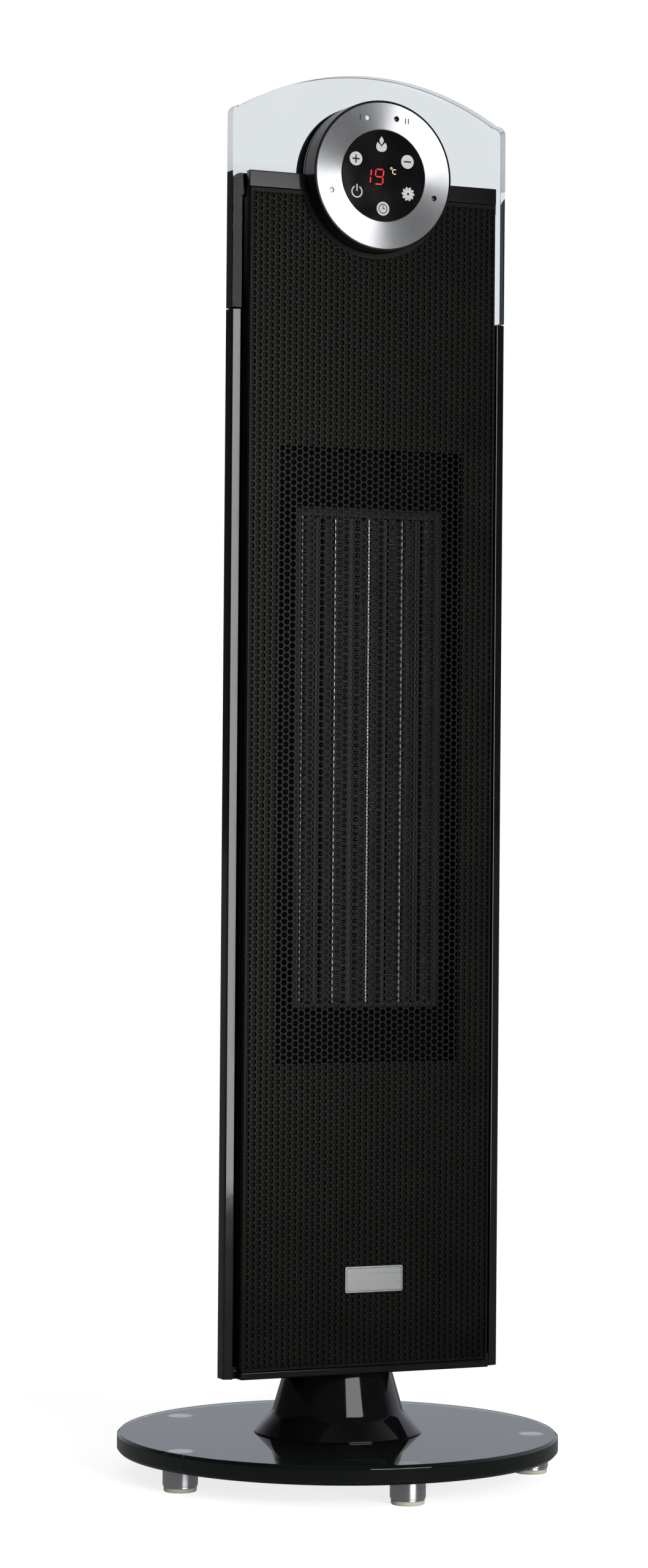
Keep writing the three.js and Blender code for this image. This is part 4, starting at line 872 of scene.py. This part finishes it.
def buildGrille():
    s, d, tree = sheet, dial, perforationTree()
    rows, pitch = s["rows"] // s["sections"], s["rowPitch"]
    for section in range(s["sections"]):
        seed = addMesh(f"grilleSheet_{section + 1}", [(0, 0, 0)], [])
        middle = s["firstRow"] + section * rows * pitch + (rows - 1) / 2 * pitch
        same = {key: s[key] for key in ("columns", "columnPitch", "rowPitch", "hole", "thickness", "front")}
        growPiece(seed, tree, "grillePaint", rows=rows, middleHeight=middle, clearHeight=d["z"],
                  clearRadius=d["radius"] + 2.2, **same)
        front = min(seed.data.polygons, key=lambda face: face.center.y)
        if front.normal.y > 0:
            seed.data.flip_normals()
        finishPiece(seed, "tower", "grillePaint", "black_sheet", "front_grille")
    x, thick, front, back = s["halfWidth"], s["thickness"], s["front"], s["front"] + s["thickness"]
    outer = underDial(x - 1, s["bottom"], s["top"], d["radius"] + 0.3)
    inner = underDial(s["rimSide"], s["rimBottom"], s["rimTop"], d["radius"] + 3.1)
    pieces = [ringPrism("grilleRim", outer, inner, front - 0.03, back + 0.03)]
    for foldBack, low, high in ((s["foldBack"], s["bottom"], s["foldTop"]),
                                (s["upperFoldBack"], s["foldTop"], s["top"])):
        line = [(x, foldBack), *arc(x - 1.6, front + 1.6, 1.6, 0, -90, 6), (x - 1.8, front),
                (x - 1.8, back), *arc(x - 1.6, front + 1.6, 0.6, -90, 0, 4), (x - thick, foldBack)]
        pieces += [prism("fold", sided(side, line), low, high) for side in (-1, 1)]
    rim = smooth(joinPieces("grilleRim", pieces))
    finishPiece(rim, "tower", "grillePaint", "black_sheet", "front_grille")


# Inner panel with the air outlet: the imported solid's shape, with its front face drawn up to the perforated sheet
innerPanel = {"solidFront": -31.8, "front": -33.6, "solidTop": 671.7, "top": 675.4, "coreRimFront": -31.0}


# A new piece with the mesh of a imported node, merged
def copyOf(node, name):
    return mendNormals(addObject(name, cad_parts[node].data.copy()))


def buildInnerPanel():
    p = innerPanel
    piece = copyOf("inner_front_frame", "innerPanel")
    for point in piece.data.vertices:
        if point.co.y < (p["solidFront"] + 0.1) * mm:
            point.co.y = p["front"] * mm
            if point.co.z > (p["solidTop"] - 0.1) * mm:
                point.co.z = p["top"] * mm
    finishPiece(smooth(piece), "tower", "frameGrey", "grey_plastic", "inner_front_frame")
    # the core frame is painted near black as shade, and only its front faces keep the dark grey of its plastic
    holder = smooth(copyOf("heater_frame", "coreFrame"))
    finishPiece(holder, "tower", "deepBlack", "grey_plastic", "heater_frame")
    finishFaces(holder, ["barGrey"], lambda normal, spot: int(normal.y < -0.9 and spot.y < p["coreRimFront"] + 0.1))


# Gloss trims round the grille: caps beside the dial and a rail below
trim = {"capBottom": 676.6, "capTop": 685.3, "capBack": -30.6, "railFront": -35.8, "railBack": -28.8,
        "railBottom": 57, "railTop": 61}


def buildTrims():
    t, x, bite = trim, sheet["halfWidth"], dial["radius"] + 0.3
    edge = arc(0, dial["z"], bite, -dialDip(t["capTop"], bite), -dialDip(t["capBottom"], bite), 10)
    for side, label in sides:
        line = sided(side, [(x, t["capTop"]), *edge, (x, t["capBottom"])])
        cap = roundEdges(prism(f"grilleCap_{label}", line, sheet["front"], t["capBack"], "Y"), 0.6, 3)
        finishPiece(cap, "tower", "capBlack", "gloss_black", f"grille_cap_{label}")
    rail = box("bottomRail", -x, x, t["railFront"], t["railBack"], t["railBottom"], t["railTop"])
    finishPiece(roundEdges(rail, 0.7, 3), "tower", "glossBlack", "gloss_black", "bottom_rail")


# Side covers: gloss strips with a rounded outer edge, and a small foot that closes the gap beside the rail
cover = {"outer": 79.4, "inner": 74.2, "lipInner": 70.8, "front": -30.3, "back": -22.3, "slant": 1, "edge": 1,
         "lip": 2.5, "bottom": 57, "top": 613.2, "footInner": 71.95, "footFront": -30.6, "footBack": -24.6,
         "footTop": 63.5}


def buildCovers():
    c = cover
    outer, inner, lip, front, back, edge = (
        c[key] for key in ("outer", "inner", "lipInner", "front", "back", "edge"))
    line = [(outer, back), *arc(outer - edge, front + edge, edge, 0, -90, 5),
            (inner + 0.5, front - c["slant"] + 0.06), (inner, front - c["slant"] + 0.5),
            (inner, back - c["lip"]), (lip, back - c["lip"]), (lip, back)]
    for side, label in sides:
        strip = roundEdges(prism(f"sideCover_{label}", sided(side, line), c["bottom"], c["top"]), 0.35)
        ends = sorted((side * c["footInner"], side * (inner + 0.2)))
        heel = box("coverFoot", *ends, c["footFront"], c["footBack"], c["bottom"] + 0.3, c["footTop"])
        strip = joinPieces(f"sideCover_{label}", [strip, heel])
        finishPiece(strip, "tower", "coverBlack", "gloss_black", f"side_cover_{label}")


# Clear panel: an inverted U with an arched top. It is polished; its sides are satin in their upper part, and
# the left side is painted black below that, as painted shade
panel = {"halfWidth": 79.4, "legHalfWidth": 73.5, "bottom": 613.7, "shoulder": 719.5, "apex": 740, "notchTop": 672,
         "cornerRound": 5, "front": -30.3, "back": -22.3, "bore": 36, "satinBottom": 685}


def buildPanel():
    p = panel
    x, leg, shoulder, low, notch = p["halfWidth"], p["legHalfWidth"], p["shoulder"], p["bottom"], p["notchTop"]
    rise, archHalf = p["apex"] - shoulder, x - p["cornerRound"]
    radius = (archHalf * archHalf + rise * rise) / (2 * rise)
    swing = degrees(asin(archHalf / radius))
    corner = bezier([(x, shoulder - p["cornerRound"]), (x, shoulder), (archHalf, shoulder)], 8)
    side = [(leg, notch), (leg, low), (x, low), (x, p["satinBottom"]), *corner]
    dip = dialDip(notch, p["bore"])
    line = [*side, *arc(0, p["apex"] - radius, radius, 90 - swing, 90 + swing, 48)[1:-1], *mirrored(side),
            *arc(0, dial["z"], p["bore"], 180 + dip, -dip, 96)]
    piece = roundEdges(prism("clearPanel", line, p["front"], p["back"], "Y"), 0.45)
    finishPiece(piece, "tower", "clearAcrylic", "clear_plastic", "clear_panel")

    def pick(normal, spot):
        if abs(normal.x) < 0.9 or abs(spot.x) < x - 1:
            return 0
        return 1 if spot.z > p["satinBottom"] else 2 if spot.x < 0 else 0

    # below the satin part, the left side's faces take the black print finish as painted shade
    finishFaces(piece, ["satinEdge", "inkBlack"], pick)


# Badge plate, left bare, with a thin black line laid flat on it inside its edge
badge = {"left": -12.7, "right": 20.8, "bottom": 99.6, "top": 113.5, "front": -35.8, "back": -34.8, "round": 1.1,
         "lineInset": 0.9, "lineWidth": 0.2}


def buildBadge():
    b = badge

    def outline(inset):
        return roundedRectangle(b["left"] + inset, b["right"] - inset, b["bottom"] + inset, b["top"] - inset,
                                max(0.3, b["round"] - inset))

    plate = roundEdges(prism("badgePlate", outline(0), b["front"], b["back"], "Y"), 0.25)
    finishPiece(plate, "tower", "brushedPlate", "brushed_aluminium", "badge_plate")
    inset, face = b["lineInset"], b["front"] - 0.01
    line = ringPrism("badgeLine", outline(inset), outline(inset + b["lineWidth"]), face, face + 0.03)
    finishPiece(line, "tower", "inkBlack", "satin_black")


buildGrille()
buildInnerPanel()
buildTrims()
buildCovers()
buildPanel()
buildBadge()
print("front made")


# Dial: satin drum, brushed ring with four small lenses, and a touch panel with printed keys
lenses = {"turns": [107.4, 76.3, 197.7, 341.6], "pale": (0, 2), "sink": 0.5}
prints = {"lift": 0.02, "keyRadius": 3.65, "step": 0.015, "digitWidth": 4.5, "digitHeight": 7.8, "slant": 0.1,
          "line": 0.75}


def buildDial():
    d = dial
    out, low, front, back = d["ringOuter"], d["ringInner"], d["front"], d["front"] + d["ringThickness"]
    r, groove, shank, seat, rim = d["radius"], d["groove"], d["neckRadius"], back + 0.6, out + 0.3
    bore = shank - 2.5

    def turned(name, profile):
        return lathe(name, profile, d["steps"], "Y", (0, 0, d["z"]))

    drum = turned("dialHousing", [
        (0, seat), (rim, seat), (rim, front + 0.2), (rim + 0.25, front), (r - 0.35, front), (r, front + 0.45),
        (r, groove - 0.5), (r - 0.5, groove - 0.3), (r - 0.5, groove + 0.3), (r, groove + 0.5), (r, d["shoulder"]),
        (shank, d["shoulder"]), (shank, d["back"]), (bore, d["back"]), (bore, seat + 2), (0, seat + 2)])
    ring = turned("dialRing", [(low + 0.25, front), (out - 0.3, front), (out, front + 0.3), (out, back),
                               (low, back), (low, front + 0.25), (low + 0.25, front)])
    size, tip = d["lensRadius"] - 0.12, front + lenses["sink"]
    dome = [(0, tip), (size * 0.5, tip + 0.06), (size * 0.85, tip + 0.2), (size, tip + 0.45), (size, back),
            (0, back)]
    drills = []
    for i, turn in enumerate(lenses["turns"]):
        a, pale = radians(turn), i in lenses["pale"]
        spot = (d["lensCircle"] * cos(a), 0, d["z"] + d["lensCircle"] * sin(a))
        drills.append(rod("drill", d["lensRadius"], front - 3, back + 3, 32, spot))
        lens = smooth(lathe(f"dialLens_{i + 1}", dome, 24, "Y", spot), 40)
        finishPiece(lens, "tower", "paleLens" if pale else "darkLens", "clear_plastic" if pale else "gloss_black")
    carve(ring, joinPieces("drills", drills))
    pad, face = d["touchRadius"], d["touchFront"]
    touch = turned("touchPanel", [(0, face), (pad - 0.3, face), (pad, face + 0.25), (pad, face + 1.5),
                                  (0, face + 1.5)])
    for piece, *given in (
            (drum, "dialBlack", "gloss_black", "dial_housing"),
            (ring, "brushedRing", "brushed_aluminium", "dial_ring"),
            (touch, "glossBlack", "gloss_black", "touch_panel"),
            (turned("dialClampRing", d["clampProfile"]), "satinBlack", "satin_black", "dial_clamp_ring")):
        finishPiece(smooth(piece, 25), "tower", *given)


# Flat printed shapes, as lists of outlines in (x, z) about their own centre
def circle(x, y, radius):
    return arc(x, y, radius, 0, 360, 28)[:-1]


def bar(x1, y1, x2, y2, width):
    dx, dy = x2 - x1, y2 - y1
    far = hypot(dx, dy)
    nx, ny = -dy / far * width / 2, dx / far * width / 2
    return [(x1 + nx, y1 + ny), (x1 - nx, y1 - ny), (x2 - nx, y2 - ny), (x2 + nx, y2 + ny)]


def openRing(radius, width, start, end):
    return arc(0, 0, radius + width / 2, start, end, 24) + arc(0, 0, radius - width / 2, end, start, 24)


def wholeRing(radius, width):
    return [openRing(radius, width, 0, 180), openRing(radius, width, 180, 360)]


def flameSign():
    bowl = (bezier([(-0.2, -3.9), (-3.7, -3.9), (-3.5, -0.2), (-2.2, 1.0)], 12)
            + bezier([(-2.2, 1.0), (-1.1, 0.1), (0, -1.2)], 5)[1:])
    drop = bezier([(0, 4.2), (-0.6, 3.2), (-1.9, 2.4), (-1.3, 1.2), (0, -0.3)], 12)
    return [bowl + mirrored(bowl)[1:], drop + mirrored(drop)[1:-1]]


def fanSign():
    petal = (bezier([(0.5, 0.1), (2.0, 1.3), (3.75, 0.9), (3.75, -0.55)], 7)
             + bezier([(3.1, -0.75), (1.6, -0.5), (0.5, 0)], 4))
    turns = [radians(36 * i) for i in range(10)]
    return [[(x * cos(a) - y * sin(a), x * sin(a) + y * cos(a)) for x, y in petal] for a in turns]


segments = {"a": (0, 2, 1, 2), "b": (1, 2, 1, 1), "c": (1, 1, 1, 0), "d": (0, 0, 1, 0), "e": (0, 1, 0, 0),
            "f": (0, 2, 0, 1), "g": (0, 1, 1, 1)}


def digitSign(lit, x, y):
    width, height, slant, line = (prints[key] for key in ("digitWidth", "digitHeight", "slant", "line"))
    shapes = []
    for x1, y1, x2, y2 in (segments[name] for name in lit):
        ends = []
        for px, py in ((x1, y1), (x2, y2)):
            u, v = (px - 0.5) * width, (py - 1) * height / 2
            ends.append((x + u + slant * v, y + v))
        (ax, ay), (bx, by) = ends
        gap = line * 0.62 / hypot(bx - ax, by - ay)
        dx, dy = (bx - ax) * gap, (by - ay) * gap
        shapes.append(bar(ax + dx, ay + dy, bx - dx, by - dy, line))
    return shapes


def printShapes(name, shapes, front, material, slot):
    plates = [prism("print", outline, front, front + prints["step"], "Y") for outline in shapes]
    return finishPiece(joinPieces(name, plates), "tower", material, slot)


def moved(outlines, x, y):
    return [[(a + x, b + y) for a, b in line] for line in outlines]


def buildPrints():
    r, z, face = prints["keyRadius"], dial["z"], dial["touchFront"] - prints["lift"]
    keys = [circle(-15.8, 693.6, r), circle(14, 694, r), circle(0, 668.4, r), *moved(flameSign(), -1.1, 702.1),
            *moved([openRing(2.9, 0.7, 118, 422), bar(0, 3.9, 0, 0.3, 0.7)], -15.1, 676.4),
            *moved(fanSign(), 14.5, 677.1)]
    printShapes("keyPrints", keys, face, "keyPrint", "clear_plastic")
    clock = [*wholeRing(2.35, 0.5), bar(0, -0.25, 0, 1.6, 0.5), bar(0, 0, 1.2, 0, 0.5)]
    marks = [bar(-17.9, 693.6, -13.7, 693.6, 0.85), bar(-15.8, 691.5, -15.8, 695.7, 0.85),
             bar(11.9, 694, 16.1, 694, 0.85), *moved(clock, 0, 668.4)]
    printShapes("keyMarks", marks, face - prints["step"], "inkBlack", "gloss_black")
    digits = [*digitSign("bc", -9.4, 685.0), *digitSign("abcdfg", -2.3, 685.0)]
    printShapes("displayDigits", digits, face, "displayRed", "gloss_black")
    degree = [*moved(wholeRing(0.5, 0.3), 4.7, 689.9), *moved([openRing(1.2, 0.4, 50, 310)], 6.6, 688.2)]
    printShapes("displayUnit", degree, face, "displayAmber", "gloss_black")
    words = [bar(x, z + low, x, z + low + 3, 0.6) for x, low in ((-13.6, 28.4), (12.6, 28), (14.2, 28))]
    printShapes("ringMarks", words, dial["front"] - prints["lift"], "inkBlack", "satin_black")


buildDial()
buildPrints()
print("dial made")


# Rear housing: a bowed shell with a rounded top, rows of intake slots and the rocker's cut-out
housing = {
    "halfWidth": 77, "front": -22, "back": 65, "top": 685, "bottom": 57, "shoulderX": 63, "shoulderY": 18,
    "backX": 38, "dialSeat": 39.8,
    "wall": 2.5, "topRound": 5, "steps": 40, "slotColumns": 3, "slotRows": 22, "slotPitchX": 23, "slotPitchZ": 11,
    "slotWidth": 18, "slotHeight": 4.2, "slotBottom": 269.5,
}
rocker = {"z": 104, "halfWidth": 7.5, "halfHeight": 10.5, "back": 66.9, "flange": 1.6, "wall": 1.4, "depth": 12,
          "keyHalf": 5.5, "keyTall": 8.5, "tilt": 10, "pivotY": 66.3, "keyThick": 3}


def housingLine(inset, front):
    h = housing
    side, back = h["halfWidth"] - inset, h["back"] - inset
    half = bezier([(side, h["front"]), (h["shoulderX"] - inset, h["shoulderY"]), (h["backX"] - inset / 2, back),
                   (0, back)], h["steps"])
    line = half + mirrored(half)[1:]
    return [(side, front), *line, (-side, front)] if front < h["front"] else line


def buildHousing():
    h, r = housing, rocker
    levels = [(0.4, h["bottom"]), (0, h["bottom"] + 0.4), (0, h["top"] - h["topRound"])]
    for i in range(1, 7):
        a = radians(15 * i)
        levels.append((h["topRound"] * (1 - cos(a)), h["top"] - h["topRound"] * (1 - sin(a))))
    points, faces = [], []
    for inset, z in levels:
        points += [(x, y, z) for x, y in housingLine(inset, h["front"])]
    count = len(points) // len(levels)
    for start in range(0, len(points) - count, count):
        for i in range(count):
            a, b = start + i, start + (i + 1) % count
            faces.append([a, b, b + count, a + count])
    faces += [list(range(count)), [len(points) - 1 - i for i in range(count)]]
    shell = mendNormals(addMesh("rearHousing", points, faces))
    inside = prism("housingInside", housingLine(h["wall"], h["front"] - 4), h["bottom"] - 4, h["top"] - h["wall"])
    seat = rod("dialSeat", h["dialSeat"], -26, -18.9, 96, (0, 0, dial["z"]))
    wide, high = h["slotWidth"] / 2, h["slotHeight"] / 2
    slot = prism("slotTool", roundedRectangle(-wide, wide, -high, high, high - 0.05, 4), 40, 70, "Y")
    growPiece(slot, gridCopies, "satinBlack", across=h["slotColumns"], along=h["slotRows"],
              pitchAcross=h["slotPitchX"], pitchAlong=h["slotPitchZ"])
    middle = h["slotBottom"] + (h["slotRows"] - 1) / 2 * h["slotPitchZ"]
    slot.data.transform(Matrix.Translation((0, 0, middle * mm)))
    half, tall = r["halfWidth"] - r["wall"] + 0.3, r["halfHeight"] - r["wall"] + 0.3
    window = box("rockerWindow", -half, half, 47, 70, r["z"] - tall, r["z"] + tall)
    carve(shell, inside, seat, slot, window)
    finishPiece(smooth(shell, 28), "tower", "satinBlack", "satin_black", "rear_housing")
    # its front rim lies right behind the clear panel's legs, and is painted a duller, darker black there: painted
    # shade
    finishFaces(shell, ["deepBlack"], lambda normal, spot: int(normal.y < -0.9 and spot.y < h["front"] + 0.1))


def buildRocker():
    r = rocker
    w, t, z, wall, back, keyHalf, keyTall = (
        r[key] for key in ("halfWidth", "halfHeight", "z", "wall", "back", "keyHalf", "keyTall"))
    bezel = prism("rockerBezel", roundedRectangle(-w, w, z - t, z + t, 1.2), back - r["flange"], back, "Y")
    can = box("can", wall - w, w - wall, back - r["depth"], back - 0.8, z - t + wall, z + t - wall)
    well = box("well", -keyHalf - 0.3, keyHalf + 0.3, back - 6, back + 3, z - keyTall - 0.3, z + keyTall + 0.3)
    bezel = carve(joinPieces("rockerBezel", [roundEdges(bezel, 0.3), can]), well)
    finishPiece(smooth(bezel), "tower", "satinBlack", "satin_black", "rocker_bezel")
    # the cap's two faces meet in a shallow valley over the pivot
    tilt = radians(r["tilt"])
    rise, high, low = keyTall * sin(tilt), keyTall * cos(tilt), -r["keyThick"]
    valley = bezier([(-high * 0.4, rise * 0.42), (0, -0.1), (high * 0.4, rise * 0.42)], 8)
    cap = prism("powerRocker", [(-high, low), (-high, rise), *valley, (high, rise), (high, low)], -keyHalf, keyHalf)
    lay = Matrix(((0, 0, 1, 0), (0, 1, 0, 0), (1, 0, 0, 0), (0, 0, 0, 1)))
    cap.data.transform(Matrix.Translation((0, r["pivotY"] * mm, z * mm)) @ Matrix.Rotation(tilt, 4, "X") @ lay)
    finishPiece(roundEdges(mendNormals(cap), 0.35), "rocker", "glossBlack", "gloss_black", "power_rocker")


buildHousing()
buildRocker()
print("housing made")


# Heating core: thin plates with close corrugated fins between them and the bars
core = {"bottom": 251.8, "top": 506.7, "front": -31, "back": -17, "plates": 5, "spacing": 19.25, "plate": 0.8,
        "finPitch": 1.3, "finThickness": 0.2, "barWidth": 3, "barDepth": 12, "play": 0.2}


def finTree():
    desk, given = newGeometryTree("corrugatedFin", Float=["width", "pitch", "height", "depth", "thickness"])
    count = (given["height"] / given["pitch"]).math("ROUND") * 2.0 + 1.0
    index = desk.geo("InputIndex")
    side = (index.math("FLOORED_MODULO", 2.0) - 0.5) * given["width"]
    place = desk.vector(side, 0.0, index / (count - 1.0) * given["height"])
    fold = desk.geo("SetPosition", {"Geometry": desk.geo("MeshLine", {"Count": count}), "Position": place})
    back = desk.vector(0.0, given["depth"], 0.0)
    web = desk.geo("ExtrudeMesh", {"Mesh": fold, "Offset": back, "Offset Scale": 1.0}, mode="EDGES")
    solid = thicken(desk, web, desk.vector(0.0, 0.0, given["thickness"]))
    return endGeometryTree(desk, merge(desk, solid, 1e-6), given["material"])


def buildCore():
    c, count = core, core["plates"]
    low, high, middle, depth = c["bottom"], c["top"], (c["front"] + c["back"]) / 2, c["back"] - c["front"]
    reach = (c["spacing"] - c["barWidth"] - c["plate"]) / 2 - c["play"] / 2
    fins = addMesh("fin", [(0, 0, 0)], [])
    growPiece(fins, finTree(), "rolledAluminium", width=reach, pitch=c["finPitch"], thickness=c["finThickness"],
              height=high - low - 2 * c["play"], depth=depth - 2 * c["play"])
    mendNormals(fins)
    rows, plates = [], []
    for i in range(count):
        x = (i - (count - 1) / 2) * c["spacing"]
        plates.append(block("plate", x, middle, c["plate"], depth, low, high))
        for side in (-1, 1):
            if 0 <= i + side < count:
                row = addObject("row", fins.data.copy())
                spot = (x + side * (c["plate"] + reach) / 2, c["front"] + c["play"], low + c["play"] / 2)
                row.data.transform(Matrix.Translation(Vector(spot) * mm))
                rows.append(row)
    bpy.data.objects.remove(fins)
    finishPiece(joinPieces("finPack", rows), "tower", "rolledAluminium", "fin_aluminium",
                *[f"fin_plate_{i + 1}" for i in range(count)])
    finishPiece(joinPieces("finPlates", plates), "tower", "rolledAluminium", "fin_aluminium")
    bars = [block("bar", (i - (count - 2) / 2) * c["spacing"], middle, c["barWidth"], c["barDepth"], low, high)
            for i in range(count - 1)]
    finishPiece(roundEdges(joinPieces("heatingBars", bars), 0.5), "tower", "barGrey", "fin_aluminium",
                *[f"heating_bar_{i + 1}" for i in range(count - 1)])


# Cross-flow rotor: many curved blades between end discs on a shaft
rotor = {"y": 24, "radius": 27, "bottom": 250, "top": 510, "disc": 2, "shaft": 3, "shaftBottom": 231.9,
         "shaftTop": 519, "blades": 32, "bladeInner": 20.5, "bladeOuter": 26.2, "bladeThickness": 0.7, "sweep": 11,
         "rings": 2, "ringHeight": 1.6}


def buildRotor():
    r, centre = rotor, (0, rotor["y"], 0)
    low, high, d, shaft, radius = r["bottom"], r["top"], r["disc"], r["shaft"], r["radius"]
    profile = [(0, r["shaftBottom"]), (shaft, r["shaftBottom"]), (shaft, low), (radius - 0.3, low),
               (radius, low + 0.3), (radius, low + d), (8, low + d), (6, low + d + 3), (shaft, low + d + 3),
               (shaft, high - d), (radius, high - d), (radius, high - 0.3), (radius - 0.3, high),
               (shaft, high), (shaft, r["shaftTop"]), (0, r["shaftTop"])]
    hub = smooth(lathe("hub", profile, 64, centre=centre))
    inner, outer, half = r["bladeInner"], r["bladeOuter"], r["bladeThickness"] / 2
    line = []
    for side in (1, -1):
        row = []
        for share in (i / 5 for i in range(6)):
            away = inner + (outer - inner) * share
            a = radians(r["sweep"] * share ** 1.6) + side * half / away
            row.append((away * cos(a), away * sin(a)))
        line += row[::side]
    blades = prism("blades", line, low + d / 2, high - d / 2)
    growPiece(blades, roundCopies, "ductGrey", count=r["blades"], centreY=r["y"])
    rings = []
    for i in range(r["rings"]):
        z = low + (high - low) * (i + 1) / (r["rings"] + 1)
        start, under, over = inner - 1, z - r["ringHeight"] / 2, z + r["ringHeight"] / 2
        ring = [(start, under), (radius, under), (radius, over), (start, over), (start, under)]
        rings.append(lathe("ring", ring, 64, centre=centre))
    wheel = smooth(joinPieces("fanRotor", [hub, blades, *rings]))
    finishPiece(wheel, "fan", "ductGrey", "grey_plastic", "fan_rotor")


buildCore()
buildRotor()
print("core and fan made")


# CAD nodes that keep their own shape get their finish here
kept = {
    "zincSteel": ["pivot_tube", "disc_clamp_nut", "fan_motor", "swing_motor"],
    "naturalNylon": ["swivel_bearing", "swing_gear", "rotor_bearing"],
    "pinBrass": ["swing_pinion"],
    "satinBlack": ["tower_bottom_plate"],
    # the thermal cut-out is painted near black: painted shade behind the grille
    "deepBlack": ["thermal_cutout"],
    "ductGrey": ["air_duct", "tilt_switch"],
    "boardGreen": ["control_board", "power_board"],
}
for material, names in kept.items():
    for name in names:
        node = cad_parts[name]
        node.data.materials.clear()
        node.data.materials.append(finish[material])
print("inner pieces finished")


# Stage: a pale floor, a surround that the camera sees white and that metal and glass mirror dimmer, and a
# plain soft lamp. The surround grows brighter over the two ranges of directions, backwards and to the right
studio = {
    "floorSize": 60, "floorColour": (0.8, 0.8, 0.8), "floorSeen": 0.8, "floorMirrored": 0.14,
    "mirroredColour": (0.03, 0.03, 0.03), "surround": 0.25, "behind": (0.5, 0.52, 0.58),
    "inFront": (0.05, 0.05, 0.053), "behindStarts": (-0.25, 0.15), "rightStarts": (-0.35, 0.05),
    "lamps": {
        "frontLamp": {"place": (0.22, -1.588, 0.48), "aim": (0.22, 0, 0.48), "size": (0.9, 0.95), "watts": 15.5},
    },
}


def buildStage():
    s, white = studio, (1.0, 1.0, 1.0)
    half = s["floorSize"] / mm / 2
    floor = addMesh("floor", [(x, y, 0) for x, y in ((-half, -half), (half, -half), (half, half), (-half, half))],
                    [[0, 1, 2, 3]])
    material, desk, sockets, place = startMaterial("floorPaper", s["floorColour"], 0.9)
    seen = desk.reads("ShaderNodeLightPath")
    glossy, through = seen["Is Glossy Ray"], seen["Is Transmission Ray"]
    paper = drift(noise(place, 3.0), s["floorColour"], 0.985)
    desk.feed(sockets["Base Color"], mixColour(glossy, paper, s["mirroredColour"]))
    shown = seen["Is Camera Ray"].math("MAXIMUM", through) * s["floorSeen"]
    sockets["Emission Color"].default_value = (1, 1, 1, 1)
    desk.feed(sockets["Emission Strength"], shown.math("MAXIMUM", glossy * s["floorMirrored"]))
    floor.data.materials.append(material)
    scene.world = bpy.data.worlds.new("studioSurround")
    scene.world.use_nodes = True
    desk = NodeDesk(scene.world.node_tree)
    seen = desk.reads("ShaderNodeLightPath")
    aside, ahead, _ = desk.split(desk.reads("ShaderNodeTexCoord")["Generated"])
    share = ranged(ahead, *s["behindStarts"])
    glossed = mixColour(share * ranged(aside, *s["rightStarts"]), s["inFront"], s["behind"])
    plain = mixColour(seen["Is Glossy Ray"], (s["surround"],) * 3, glossed)
    plain = mixColour(seen["Is Transmission Ray"], plain, mixColour(share, s["inFront"], white))
    backdrop = scene.world.node_tree.nodes["Background"]
    desk.feed(backdrop.inputs["Color"], mixColour(seen["Is Camera Ray"], plain, white))
    for name, lamp in s["lamps"].items():
        data = bpy.data.lights.new(name, "AREA")
        data.shape, data.energy = "RECTANGLE", lamp["watts"]
        data.size, data.size_y = lamp["size"]
        light, spot = addObject(name, data), Vector(lamp["place"])
        light.location = spot
        light.rotation_euler = (Vector(lamp["aim"]) - spot).to_track_quat("-Z", "Y").to_euler()
    scene.view_settings.view_transform = "Standard"


buildStage()
print("stage set")
